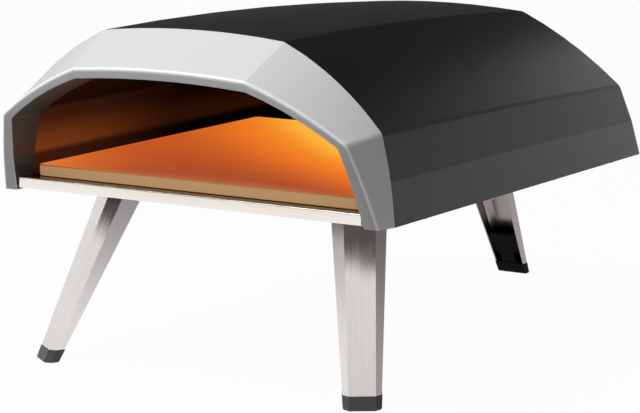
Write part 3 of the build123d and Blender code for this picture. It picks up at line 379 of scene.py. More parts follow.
@dataclass(frozen=True)
class SatinCast:
    """Die-cast frame under satin silver paint, with a painted highlight round its rim,
    painted shade low on its forward faces and over the tunnel, and a painted glow in the tunnel.

    Depths are measured from the lip's plane into the mouth, and heights from the ground.
    """

    name: str = "silver_frame"
    colour: Colour = (0.7, 0.7, 0.71)
    darker: float = 0.97
    cloud: Speckle = Speckle(0.05, 4.0)
    # Painted shade on forward-looking faces low down: its heights, share and facing
    low_shade_heights: Span = (0.2, 0.262)
    low_shade_share: float = 0.62
    low_shade_facing: Span = (0.7, 0.95)
    # Painted highlight round the lip's outer rim, between these depths
    rim_highlight_colour: Colour = (0.97, 0.96, 0.95)
    rim_highlight_share: float = 0.85
    rim_highlight_begins: Span = (0.0001, 0.0008)
    rim_highlight_ends: Span = (0.0016, 0.0032)
    centre: Triple = (0.0, 0.0, 0.205)
    # Painted shade over the tunnel's inner faces
    tunnel_shade: Colour = (0.004, 0.005, 0.006)
    tunnel_begins: Span = (0.0006, 0.0022)
    tunnel_facing: Span = (0.2, 0.5)
    # Painted glow inside the tunnel, lower and higher up, fainter deeper in
    tunnel_glow_low: Colour = (0.015, 0.0125, 0.011)
    tunnel_glow_high: Colour = (0.009, 0.025, 0.026)
    tunnel_glow_heights: Span = (0.17, 0.215)
    tunnel_glow_fades: Span = (0.0, 0.045)
    tunnel_glow_faded: float = 0.45
    roughness: float = 0.36
    spread: Span = (-0.03, 0.03)
    wear: Speckle = Speckle(0.012, 4.0)
    grit: Speckle = Speckle(0.0005, 1.0)
    grit_depth: float = 0.00002

    def make(self) -> bpy.types.Material:
        """Builds the silver's material.

        Returns:
            The material.
        """
        s = Shader(self.name, Metallic=0.0, IOR=1.5)
        silver = s.blend(s.noise(self.cloud), toned(self.colour, self.darker), self.colour)
        height = s.along(Toward.UPRIGHT.value)
        # Painted shade: forward faces darker towards the bottom.
        low = height.ramp(self.low_shade_heights, 1.0, 0.0)
        forward = s.facing(Toward.MOUTH.value).ramp(self.low_shade_facing)
        silver = s.blend(low * forward, silver, toned(self.colour, self.low_shade_share))
        depth = s.along(into_mouth(), LIP_ORIGIN)
        # Painted highlight round the rim.
        rim = depth.ramp(self.rim_highlight_begins) * depth.ramp(self.rim_highlight_ends, 1.0, 0.0)
        silver = s.blend(rim * self.rim_highlight_share, silver, self.rim_highlight_colour)
        # Painted shade over the tunnel's inner faces.
        inside = s.inward(self.centre).ramp(self.tunnel_facing) * depth.ramp(self.tunnel_begins)
        s.put("Base Color", s.blend(inside, silver, self.tunnel_shade))
        # Painted glow inside the tunnel, fainter deeper in.
        fade = inside * depth.ramp(self.tunnel_glow_fades, 1.0, self.tunnel_glow_faded)
        glow = s.blend(height.ramp(self.tunnel_glow_heights), self.tunnel_glow_low, self.tunnel_glow_high)
        s.put("Emission Color", s.blend(fade, BLACK, glow))
        s.put("Emission Strength", 1.0)
        s.roughen(self.roughness, self.spread, s.noise(self.wear))
        s.bump(s.noise(self.grit), self.grit_depth)
        return s.material


@dataclass(frozen=True)
class Brushed:
    """Brushed steel sheet: long fine scratches along one direction.

    Where it is asked for, the steel takes painted shade past a place along its length, on the face
    that looks one way; painted shade grows along its length on all faces but one; and its ledges,
    which look up, take painted shade.
    """

    name: str
    direction: Triple
    colour: Colour = (0.66, 0.635, 0.615)
    roughness: float = 0.3
    depth: float = 0.00002
    blotch: float = 0.16
    #: Scratches per metre along and across, for the fine grain and for the wide bands
    scratches: tuple[Span, Span] = ((14.0, 2600.0), (5.0, 320.0))
    scratch: Speckle = Speckle(1.0, 3.0, 0.6)
    wash: Speckle = Speckle(0.06)
    tone_mix: Triple = (0.4, 0.35, 0.25)
    tone_run: Span = (0.3, 0.7)
    rough_mix: Span = (0.6, 0.4)
    depth_mix: Span = (0.7, 0.3)
    spread: Span = (-0.07, 0.09)
    # Painted shade past a place along the length, on the face that looks one way
    shade: Optional[Colour] = None
    shade_from: Triple = (0.0, 0.0, 0.0)
    shade_run: Span = (0.0, 1.0)
    shade_drift: float = 0.02
    shade_facing: Triple = (0.0, 0.0, 1.0)
    shade_turn: Span = (0.74, 0.95)
    # Painted shade growing along the length on all faces but the clear one
    upper_shade: float = 0.8
    upper_shade_colour: Colour = (0.2, 0.185, 0.19)
    upper_shade_run: Span = (0.02, 0.175)
    clear_facing: Triple = (0.0, 0.0, 1.0)
    clear_turn: Span = (0.74, 0.88)
    # Painted shade on the up-facing ledges
    ledge_shade: Optional[Colour] = None
    ledge_shade_turn: Span = (0.8, 0.97)

    def make(self) -> bpy.types.Material:
        """Builds the brushed steel's material.

        Returns:
            The material.
        """
        s = Shader(self.name, Metallic=1.0)
        lengthwise = Vector(self.direction).normalized()
        side = lengthwise.orthogonal().normalized()
        third = lengthwise.cross(side)
        axes = [s.along(axis) for axis in (lengthwise, side, third)]
        fine, band = [
            s.noise(
                self.scratch,
                s.node(
                    "ShaderNodeCombineXYZ",
                    inputs={i: axis * per for i, (axis, per) in enumerate(zip(axes, pers))},
                ),
            )
            for pers in ((run, width, width) for run, width in self.scratches)
        ]
        by_fine, by_band, by_wash = self.tone_mix
        tone = fine * by_fine + band * by_band + s.noise(self.wash) * by_wash
        darker = toned(self.colour, 1 - self.blotch)
        steel = s.blend(tone.ramp(self.tone_run), darker, self.colour)
        # Painted shade along the length.
        if self.shade:
            rise = s.along(lengthwise, self.shade_from)
            share = (rise + (band - 0.5) * self.shade_drift).ramp(self.shade_run)
            share = share * s.facing(self.shade_facing).ramp(self.shade_turn)
            steel = s.blend(share, steel, self.shade)
            # Painted shade growing along the length, on all faces but the clear one.
            side_on = 1.0 - s.facing(self.clear_facing).ramp(self.clear_turn)
            upper_shade = rise.ramp(self.upper_shade_run, 0.0, self.upper_shade)
            steel = s.blend(upper_shade * side_on, steel, self.upper_shade_colour)
        # Painted shade on faces that look up.
        if self.ledge_shade:
            upward = s.facing(Toward.UPRIGHT.value).ramp(self.ledge_shade_turn)
            steel = s.blend(upward, steel, self.ledge_shade)
        s.put("Base Color", steel)
        s.roughen(
            self.roughness, self.spread, fine * self.rough_mix[0] + band * self.rough_mix[1]
        )
        s.bump(fine * self.depth_mix[0] + band * self.depth_mix[1], self.depth)
        return s.material


@dataclass(frozen=True)
class PlainSheet:
    """Zinc-coated or plain sheet with soft spangle and faint handling marks."""

    name: str
    colour: Colour = (0.5, 0.5, 0.5)
    roughness: float = 0.38
    spangle: float = 0.012
    darker: float = 0.86
    marks: Speckle = Speckle(0.03, 6.0, 0.65)
    marks_depth: float = 0.00004
    tone_run: Span = (0.25, 0.75)
    spread: Span = (-0.06, 0.08)

    def make(self) -> bpy.types.Material:
        """Builds the sheet's material.

        Returns:
            The material.
        """
        s = Shader(self.name, Metallic=1.0)
        cells = s.node(
            "ShaderNodeTexVoronoi",
            {"feature": "F1"},
            {"Vector": s.place(), "Scale": 1.0 / self.spangle},
            1,
        )
        shade = s.node("ShaderNodeRGBToBW", inputs={0: cells})
        marks = s.noise(self.marks)
        tone = (shade * 0.5 + marks * 0.5).ramp(self.tone_run)
        s.put("Base Color", s.blend(tone, toned(self.colour, self.darker), self.colour))
        s.roughen(self.roughness, self.spread, marks)
        s.bump(marks, self.marks_depth)
        return s.material


@dataclass(frozen=True)
class ChamberSteel:
    """Near-black chamber steel, with a painted glow of the hot floor low on its walls and a
    fainter painted glow above it.

    Heights are measured from the stone's top, and depths from the mouth.
    """

    name: str = "liner_steel"
    colour: Colour = (0.003, 0.002, 0.0018)
    sooty: float = 0.6
    soot: Speckle = Speckle(0.07, 5.0, 0.6)
    floor_z: float = 0.176
    mouth_y: float = -0.262
    # Painted glow of the hot floor in a band low on the walls, fading deeper in
    glow: Colour = (0.17, 0.037, 0.0075)
    glow_begins: Span = (0.005, 0.011)
    glow_ends: Span = (0.011, 0.042)
    glow_depths: Span = (0.0, 0.22)
    glow_faded: float = 0.12
    # A fainter painted glow over the walls, thinning higher up and fading deeper in
    wall_glow: Colour = (0.042, 0.0095, 0.004)
    wall_glow_begins: Span = (-0.012, -0.004)
    wall_glow_thins: Span = (0.0445, 0.051)
    wall_glow_thin: float = 0.3
    wall_glow_depths: Span = (0.0, 0.26)
    wall_glow_faded: float = 0.02
    # Streaky variation of the painted glow
    glow_streak: Speckle = Speckle(0.05, stretch=(1.0, 0.2, 3.0))
    glow_streak_span: Span = (0.9, 1.1)
    roughness: float = 0.42
    spread: Span = (0.0, 0.1)
    scale: Speckle = Speckle(0.004, 4.0)
    scale_depth: float = 0.00003

    def make(self) -> bpy.types.Material:
        """Builds the heat-darkened steel's material.

        Returns:
            The material.
        """
        s = Shader(self.name, Metallic=0.0, IOR=1.06)
        soot = s.noise(self.soot)
        s.put("Base Color", s.blend(soot, self.colour, toned(self.colour, self.sooty)))
        s.roughen(self.roughness, self.spread, soot)
        rise = s.along(Toward.UPRIGHT.value, (0.0, 0.0, self.floor_z))
        depth = s.along(Toward.LENGTHWISE.value, (0.0, self.mouth_y, 0.0))
        # Painted glow: a band low on the walls, fading deeper in.
        band = rise.ramp(self.glow_begins) * rise.ramp(self.glow_ends, 1.0, 0.0)
        band = band * depth.ramp(self.glow_depths, 1.0, self.glow_faded)
        # A fainter painted glow over the walls, thinning higher up.
        wall = rise.ramp(self.wall_glow_begins) * depth.ramp(self.wall_glow_depths, 1.0, self.wall_glow_faded)
        wall = wall * rise.ramp(self.wall_glow_thins, 1.0, self.wall_glow_thin)
        faint, strong = self.glow_streak_span
        glow_streak = faint + (strong - faint) * s.noise(self.glow_streak)
        wall_glow = s.blend(wall * glow_streak, BLACK, self.wall_glow)
        s.put("Emission Color", s.blend(band * glow_streak, wall_glow, self.glow))
        s.put("Emission Strength", 1.0)
        s.bump(s.noise(self.scale), self.scale_depth)
        return s.material


@dataclass(frozen=True)
class FiredStone:
    """Unglazed baking stone, tan at its edge, with a painted orange glow across its top, dimmer on
    its sides and arrises.
    """

    name: str = "stone"
    edge: Colour = (0.5, 0.33, 0.16)
    darker: float = 0.86
    roughness: float = 0.85
    grit: Speckle = Speckle(0.0012, 3.0, 0.7)
    grit_depth: float = 0.0001
    cloud: Speckle = Speckle(0.05, 5.0, 0.6)
    tone_mix: Span = (0.6, 0.4)
    #: The stone's front left corner and its side, over which the painted glow is mapped
    corner: Triple = (-0.1665, -0.256, 0.0)
    side: float = 0.333
    #: Level of the painted glow as 1, u, v, uu, uv and vv, u running to the right and v towards
    #: the back
    glow_level: tuple[float, ...] = (0.514, -2.151, -1.395, 1.725, 4.435, 1.55)
    drift: Speckle = Speckle(0.06, stretch=(0.5, 1.0, 1.0))
    drift_share: float = 0.1
    # Colours of the painted glow, by its level
    glow_stops: tuple[tuple[float, Colour], ...] = (
        (0.0, (0.4, 0.058, 0.014)),
        (0.25, (0.6, 0.11, 0.017)),
        (0.5, (0.84, 0.18, 0.016)),
        (0.75, (0.92, 0.27, 0.02)),
        (1.0, (1.0, 0.46, 0.045)),
    )
    # Painted glow on the sides and along the arrises
    side_glow: Colour = (0.3, 0.165, 0.075)
    top_turn: Span = (0.5, 0.95)
    arris_glow: Colour = (0.2, 0.06, 0.012)
    arris_begins: Span = (0.1, 0.35)
    arris_ends: Span = (0.8, 0.97)
    strength: float = 0.98

    def make(self) -> bpy.types.Material:
        """Builds the stone's material.

        Returns:
            The material.
        """
        s = Shader(self.name, Roughness=self.roughness, Metallic=0.0)
        grit = s.noise(self.grit)
        tone = s.noise(self.cloud) * self.tone_mix[0] + grit * self.tone_mix[1]
        s.put("Base Color", s.blend(tone, toned(self.edge, self.darker), self.edge))
        # Painted glow: a level mapped over the top, dimmer on the sides and arrises.
        u = s.along(Toward.ACROSS.value, self.corner) / self.side
        v = s.along(Toward.LENGTHWISE.value, self.corner) / self.side
        drift = (s.noise(self.drift) - 0.5) * self.drift_share
        level, by_u, by_v, by_uu, by_uv, by_vv = self.glow_level
        glow_level = level + by_u * u + by_v * v + by_uu * u * u + by_uv * u * v + by_vv * v * v + drift
        glow = s.node("ShaderNodeValToRGB", {"stops": self.glow_stops}, {0: glow_level})
        tilt = s.facing(Toward.UPRIGHT.value)
        face_glow = s.blend(tilt.ramp(self.top_turn), self.side_glow, glow)
        arris = tilt.ramp(self.arris_begins) * tilt.ramp(self.arris_ends, 1.0, 0.0)
        s.put("Emission Color", s.blend(arris, face_glow, self.arris_glow))
        s.put("Emission Strength", self.strength)
        s.bump(grit, self.grit_depth)
        return s.material


@dataclass(frozen=True)
class Fibre:
    """Felted mineral fibre: matt, off-white, with tangled strands."""

    name: str
    colour: Colour = (0.8, 0.78, 0.72)
    darker: float = 0.8
    roughness: float = 0.95
    strands: Speckle = Speckle(0.002, 6.0, 0.7, (1.0, 0.25, 1.0))
    strand_depth: float = 0.0004

    def make(self) -> bpy.types.Material:
        """Builds the fibre's material.

        Returns:
            The material.
        """
        s = Shader(self.name, Roughness=self.roughness, Metallic=0.0)
        strands = s.noise(self.strands)
        s.put("Base Color", s.blend(strands, toned(self.colour, self.darker), self.colour))
        s.bump(strands, self.strand_depth)
        return s.material


@dataclass(frozen=True)
class Moulded:
    """Moulded rubber or plastic with a fine grained skin."""

    name: str
    colour: Colour = (0.02, 0.02, 0.022)
    roughness: float = 0.5
    gloss: float = 0.5
    lighter: float = 1.6
    dust: Speckle = Speckle(0.012, 5.0)
    spread: Span = (-0.05, 0.07)
    grain: Speckle = Speckle(0.0007, 2.0)
    grain_depth: float = 0.00005

    def make(self) -> bpy.types.Material:
        """Builds the moulding's material.

        Returns:
            The material.
        """
        s = Shader(self.name, Metallic=0.0, Specular_IOR_Level=self.gloss)
        dust = s.noise(self.dust)
        s.put("Base Color", s.blend(dust, self.colour, toned(self.colour, self.lighter)))
        s.roughen(self.roughness, self.spread, dust)
        s.bump(s.noise(self.grain), self.grain_depth)
        return s.material


@dataclass(frozen=True)
class Turned:
    """Turned or plated metal fitting with fine rings and a little tarnish."""

    name: str
    colour: Colour
    roughness: float = 0.25
    pitch: float = 0.0009
    depth: float = 0.00002
    axis: Triple = Toward.ACROSS.value
    darker: float = 0.8
    tarnish: Speckle = Speckle(0.008, 5.0, 0.6)
    spread: Span = (0.0, 0.14)

    def make(self) -> bpy.types.Material:
        """Builds the fitting's material.

        Returns:
            The material.
        """
        s = Shader(self.name, Metallic=1.0)
        tarnish = s.noise(self.tarnish)
        s.put("Base Color", s.blend(tarnish, toned(self.colour, self.darker), self.colour))
        s.roughen(self.roughness, self.spread, tarnish)
        turns = s.along(self.axis) * (2 * math.pi / self.pitch)
        ring = s.node("ShaderNodeMath", {"operation": "SINE"}, {0: turns})
        s.bump(ring * 0.5 + 0.5, self.depth)
        return s.material


@dataclass(frozen=True)
class Glaze:
    """Plain ceramic insulator."""

    name: str = "ceramic"
    colour: Colour = (0.82, 0.8, 0.75)
    darker: float = 0.9
    speck: Speckle = Speckle(0.0012, 4.0, 0.7)
    speck_depth: float = 0.00002
    roughness: float = 0.3
    spread: Span = (0.0, 0.2)

    def make(self) -> bpy.types.Material:
        """Builds the ceramic's material.

        Returns:
            The material.
        """
        s = Shader(self.name, Metallic=0.0)
        speck = s.noise(self.speck)
        s.put("Base Color", s.blend(speck, toned(self.colour, self.darker), self.colour))
        s.roughen(self.roughness, self.spread, speck)
        s.bump(speck, self.speck_depth)
        return s.material


Finish = Union[
    PowderCoat,
    SatinCast,
    Brushed,
    PlainSheet,
    ChamberSteel,
    FiredStone,
    Fibre,
    Moulded,
    Turned,
    Glaze,
]
STAINLESS = Brushed("stainless", Toward.ACROSS.value, (0.98, 0.915, 0.855), 0.25, 0.000008, 0.1)


class Wardrobe:
    """Every finish of the oven, each made once and handed out by its name."""

    SHARED: ClassVar[tuple[Finish, ...]] = (
        PowderCoat(),
        SatinCast(),
        STAINLESS,
        PlainSheet("galvanised"),
        ChamberSteel(),
        PlainSheet("burner_steel", (0.34, 0.3, 0.27), 0.4, 0.03),
        Fibre("fibre"),
        Fibre("board", (0.72, 0.7, 0.63)),
        FiredStone(),
        Moulded("foot_rubber", (0.055, 0.053, 0.058)),
        # A darker, less glossy copy of the foot rubber: painted shade for the rear foot.
        Moulded("foot_dark", (0.0035, 0.0035, 0.0038), gloss=0.04),
        Turned("fastener", (0.5, 0.5, 0.51), 0.3),
        PlainSheet("valve_body", (0.55, 0.55, 0.56), 0.45, 0.004),
        Turned("brass", (0.72, 0.5, 0.22), 0.22, 0.0013, 0.0002),
        Moulded("knob_plastic", (0.012, 0.012, 0.013), 0.45),
        Turned("dial", (0.55, 0.55, 0.56), 0.35),
        Glaze(),
        Moulded("lead_cover", (0.05, 0.05, 0.05), 0.6),
    )

    def __init__(self) -> None:
        """Makes the shared finishes."""
        self._made: dict[str, bpy.types.Material] = {}
        for finish in self.SHARED:
            self.add(finish)

    def add(self, finish: Finish) -> bpy.types.Material:
        """Makes a finish and returns its material."""
        self._made[finish.name] = finish.make()
        return self._made[finish.name]

    def __getitem__(self, name: str) -> bpy.types.Material:
        """The material of a name."""
        return self._made[name]


@dataclass
class SubAssembly:
    """What every group of pieces shares: its finishes, and how a piece takes a node's place."""

    wardrobe: Wardrobe

    @staticmethod
    def slot_of(node: str) -> str:
        """The record's material slot of a node."""
        return next(s["material_slot"] for s in frame["record"]["subparts"] if s["node"] == node)

    @staticmethod
    def body_of(node: str) -> str:
        """The body that a node rides on."""
        bodies = frame["record"]["behaviour"]["bodies"]
        return next(body for body, nodes in bodies.items() if node in nodes)

    @staticmethod
    def copied(node: str, weld: float = 1e-6, flat: float = 0.3) -> bmesh.types.BMesh:
        """A welded working copy of a node's mesh, its flat faces made whole.

        Args:
            node: The node.
            weld: Distance in metres under which corners become one.
            flat: Angle in degrees under which faces become one.

        Returns:
            The working mesh.
        """
        work = bmesh.new()
        work.from_mesh(frame["nodes"][node].data)
        bmesh.ops.remove_doubles(work, verts=work.verts, dist=weld)
        limit = math.radians(flat)
        bmesh.ops.dissolve_limit(work, angle_limit=limit, verts=work.verts, edges=work.edges)
        return work

    def settle(
        self,
        node: str,
        work: bmesh.types.BMesh,
        material: Optional[bpy.types.Material] = None,
        crease: Crease = Crease.SHEET,
    ) -> bpy.types.Object:
        """Turns a working mesh into the piece that stands for a node.

        Args:
            node: The node that it replaces.
            work: Its mesh, which is used up.
            material: Its material, or none for the slot's own.
            crease: Which edges stay sharp.

        Returns:
            The new piece.
        """
        slot = self.slot_of(node)
        mesh = bpy.data.meshes.new(f"{node}_mesh")
        for part in (*work.faces, *work.edges):
            part.smooth = True
        work.to_mesh(mesh)
        work.free()
        mesh.set_sharp_from_angle(angle=math.radians(crease.value))
        mesh.materials.append(material or self.wardrobe[slot])
        piece = bpy.data.objects.new(f"{node}_dressed", mesh)
        bpy.context.scene.collection.objects.link(piece)
        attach(piece, self.body_of(node))
        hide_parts(node)
        log.info("%s: %d faces in %s", node, len(mesh.polygons), piece.active_material.name)
        return piece

    def dress(
        self,
        node: str,
        edge: float = 0.0003,
        material: Optional[bpy.types.Material] = None,
        crease: Crease = Crease.SHEET,
        segments: int = 2,
        wide: Optional[Callable[[bmesh.types.BMEdge], float]] = None,
        even: bool = False,
        work: Optional[bmesh.types.BMesh] = None,
    ) -> None:
        """Stands a copy of a node with rounded edges in its place.

        Args:
            node: The node.
            edge: Radius of its edges, in metres.
            material: Its material, or none for the slot's own.
            crease: Which edges are rounded.
            segments: Faces across each rounding.
            wide: How many times the radius an edge takes, where it isn't 1 all over.
            even: Whether shading follows the larger faces, so that narrow ridges look round.
            work: The mesh to round, or none for a copy of the node.
        """
        work = work or self.copied(node)
        widest = 1.0
        if wide:
            layer = work.edges.layers.float.new("bevel_weight_edge")
            shares = {line: wide(line) for line in work.edges}
            widest = max(shares.values())
            for line, share in shares.items():
                line[layer] = share / widest
        piece = self.settle(node, work, material, crease)
        bevel = piece.modifiers.new("rounding", "BEVEL")
        bevel.width = edge * widest
        bevel.segments = segments
        bevel.limit_method = "WEIGHT" if wide else "ANGLE"
        bevel.angle_limit = math.radians(crease.value)
        bevel.harden_normals = True
        bevel.use_clamp_overlap = True
        if even:
            piece.modifiers.new("even_shading", "WEIGHTED_NORMAL").keep_sharp = True

    @staticmethod
    def turn_up(
        work: bmesh.types.BMesh,
        origin: Vector,
        axis: Vector,
        profile: Sequence[Span],
        sides: int,
        flute: Callable[[float, float], float] = lambda angle, radius: radius,
    ) -> None:
        """Revolves a profile about an axis and adds it to a working mesh.

        Args:
            work: The mesh that it joins.
            origin: A point of the axis.
            axis: Direction of the axis.
            profile: Places along the axis with their radii; a radius of 0 closes an end.
            sides: Faces round the axis.
            flute: Radius at an angle, from the angle and the plain radius.
        """
        across = axis.orthogonal().normalized()
        up = axis.cross(across)
        turns = [2 * math.pi * i / sides for i in range(sides)]
        rings = []
        for place, radius in profile:
            middle = origin + axis * place
            spots = [middle]
            if radius > 0:
                spots = [
                    middle + (across * math.cos(a) + up * math.sin(a)) * flute(a, radius)
                    for a in turns
                ]
            rings.append([work.verts.new(spot) for spot in spots])
        for low, high in zip(rings, rings[1:]):
            for i in range(sides):
                j = (i + 1) % sides
                corners = [low[i % len(low)], low[j % len(low)], high[j % len(high)]]
                corners.append(high[i % len(high)])
                work.faces.new(list(dict.fromkeys(corners)))


@dataclass(frozen=True)
class HeadShape:
    """A fastener's form, as shares of its shank's or head's radius and its head's height."""

    same_share: float = 0.97
    bare_shank_share: float = 0.5
    tip_share: float = 0.8
    tip_length_share: float = 0.2
    wall_share: float = 0.45
    dome_share: float = 0.35
    dome_steps: int = 4
    recess_share: float = 0.34
    recess_foot_share: float = 0.12
    recess_depth_share: float = 0.55
    sides: int = 20


@dataclass
class Fasteners(SubAssembly):
    """Screws and rivets: each many-sided blank becomes a round one with a domed head."""

    shape: HeadShape = HeadShape()
    #: Node, direction of its heads, and whether they carry a driver's recess
    ROWS: ClassVar[tuple[tuple[str, Toward, bool], ...]] = (
        ("bracket_rivets", Toward.DOWN, False),
        ("base_screws", Toward.DOWN, True),
        ("frame_screws", Toward.DOWN, True),
        ("sill_screws", Toward.DOWN, True),
        ("rear_panel_screws", Toward.REAR, True),
        ("housing_screws", Toward.REAR, True),
    )

    def build(self) -> None:
        """Makes every row."""
        for node, heads, driven in self.ROWS:
            work = self.copied(node)
            blanks = self.split(work)
            work.free()
            fresh = bmesh.new()
            for blank in blanks:
                self.fastener(fresh, blank, Vector(heads.value).normalized(), driven)
            bmesh.ops.recalc_face_normals(fresh, faces=fresh.faces)
            self.settle(node, fresh, crease=Crease.TURNED)

    @staticmethod
    def split(work: bmesh.types.BMesh) -> list[list[Vector]]:
        """Takes a mesh apart into its separate blanks.

        Args:
            work: The mesh.

        Returns:
            The places of each blank's corners.
        """
        left = set(work.verts)
        blanks = []
        while left:
            reach = [left.pop()]
            group = []
            while reach:
                corner = reach.pop()
                group.append(corner.co.copy())
                for edge in corner.link_edges:
                    other = edge.other_vert(corner)
                    if other in left:
                        left.remove(other)
                        reach.append(other)
            blanks.append(group)
        return blanks

    def fastener(
        self, work: bmesh.types.BMesh, blank: Sequence[Vector], heads: Vector, driven: bool
    ) -> None:
        """Turns one round fastener over its blank.

        Args:
            work: The mesh that it joins.
            blank: Corners of the blank.
            heads: Direction of its head.
            driven: Whether the head has a recess.
        """
        shape = self.shape
        middle = sum(blank, Vector()) / len(blank)
        levels: dict[float, float] = {}
        for corner in blank:
            offset = corner - middle
            place = round(offset.dot(heads), 5)
            radius = (offset - heads * offset.dot(heads)).length
            levels[place] = max(levels.get(place, 0.0), radius)
        places = sorted(levels)
        end, tip = places[-1], places[0]
        head_r = levels[end]
        full_r = head_r * shape.same_share
        base = next(p for p in places if levels[p] > full_r)
        shank_r = levels[tip] if levels[tip] < full_r else head_r * shape.bare_shank_share
        height = end - base
        wall = shape.wall_share
        profile = [(tip, 0.0), (tip, shank_r * shape.tip_share)]
        profile += [(tip + shank_r * shape.tip_length_share, shank_r), (base, shank_r)]
        profile += [(base, head_r), (base + height * wall, head_r)]
        for step in range(1, shape.dome_steps + 1):
            turn = step / shape.dome_steps * math.pi / 2
            profile.append(
                (
                    base + height * (wall + (1 - wall) * math.sin(turn)),
                    head_r * (1 - shape.dome_share * (1 - math.cos(turn))),
                )
            )
        if driven:
            floor = end - height * shape.recess_depth_share
            profile += [(end, head_r * shape.recess_share)]
            profile += [(floor, head_r * shape.recess_foot_share), (floor, 0.0)]
        else:
            profile.append((end, 0.0))
        self.turn_up(work, middle, heads, profile, shape.sides)


@dataclass(frozen=True)
class FrameSizes:
    """Roundings of the front frame, the planes of its lip and seam, and its flare's skin."""

    rim_r: float = 0.0024
    mouth_r: float = 0.001
    fine_r: float = 0.0004
    seam_y: float = -0.25119
    #: How near a corner lies to the plane that it belongs to
    reach: float = 2e-4
    #: Height of the arch's middle, and one below all its corners
    heart_z: float = 0.2
    below_z: float = 0.15
    #: How far the flare's faces look along Y
    flare_tilt: Span = (-0.75, -0.1)
    cuts: int = 2
    rows: int = 5

    def depth(self, spot: Vector) -> float:
        """Depth of a point behind the lip's plane."""
        return (spot - Vector(LIP_ORIGIN)).dot(into_mouth())

    def on_lip(self, corner: bmesh.types.BMVert) -> bool:
        """Whether a corner lies in the lip's plane."""
        return abs(self.depth(corner.co)) < self.reach

    def on_seam(self, corner: bmesh.types.BMVert) -> bool:
        """Whether a corner lies in the seam's plane."""
        return abs(corner.co.y - self.seam_y) < self.reach

    def outward(self, facing: Vector, spot: Vector) -> bool:
        """Whether a direction leads away from the arch's middle line."""
        return facing.x * spot.x + facing.z * (spot.z - self.heart_z) > 0

    def is_flare(self, face: bmesh.types.BMFace) -> bool:
        """Whether a face is one of the flare's, which run from the lip to the seam.

        Args:
            face: The face.

        Returns:
            Whether it is.
        """
        lip = [self.on_lip(v) for v in face.verts]
        seam = [self.on_seam(v) for v in face.verts]
        steep, flat = self.flare_tilt
        return (
            steep < face.normal.y < flat
            and self.outward(face.normal, face.verts[0].co)
            and all(a or b for a, b in zip(lip, seam))
            and any(lip)
            and any(seam)
        )

    def in_order(self, corners: set[bmesh.types.BMVert]) -> list[bmesh.types.BMVert]:
        """Corners of an arch in order, from the right foot to the left."""
        return sorted(corners, key=lambda v: math.atan2(v.co.z - self.below_z, v.co.x))


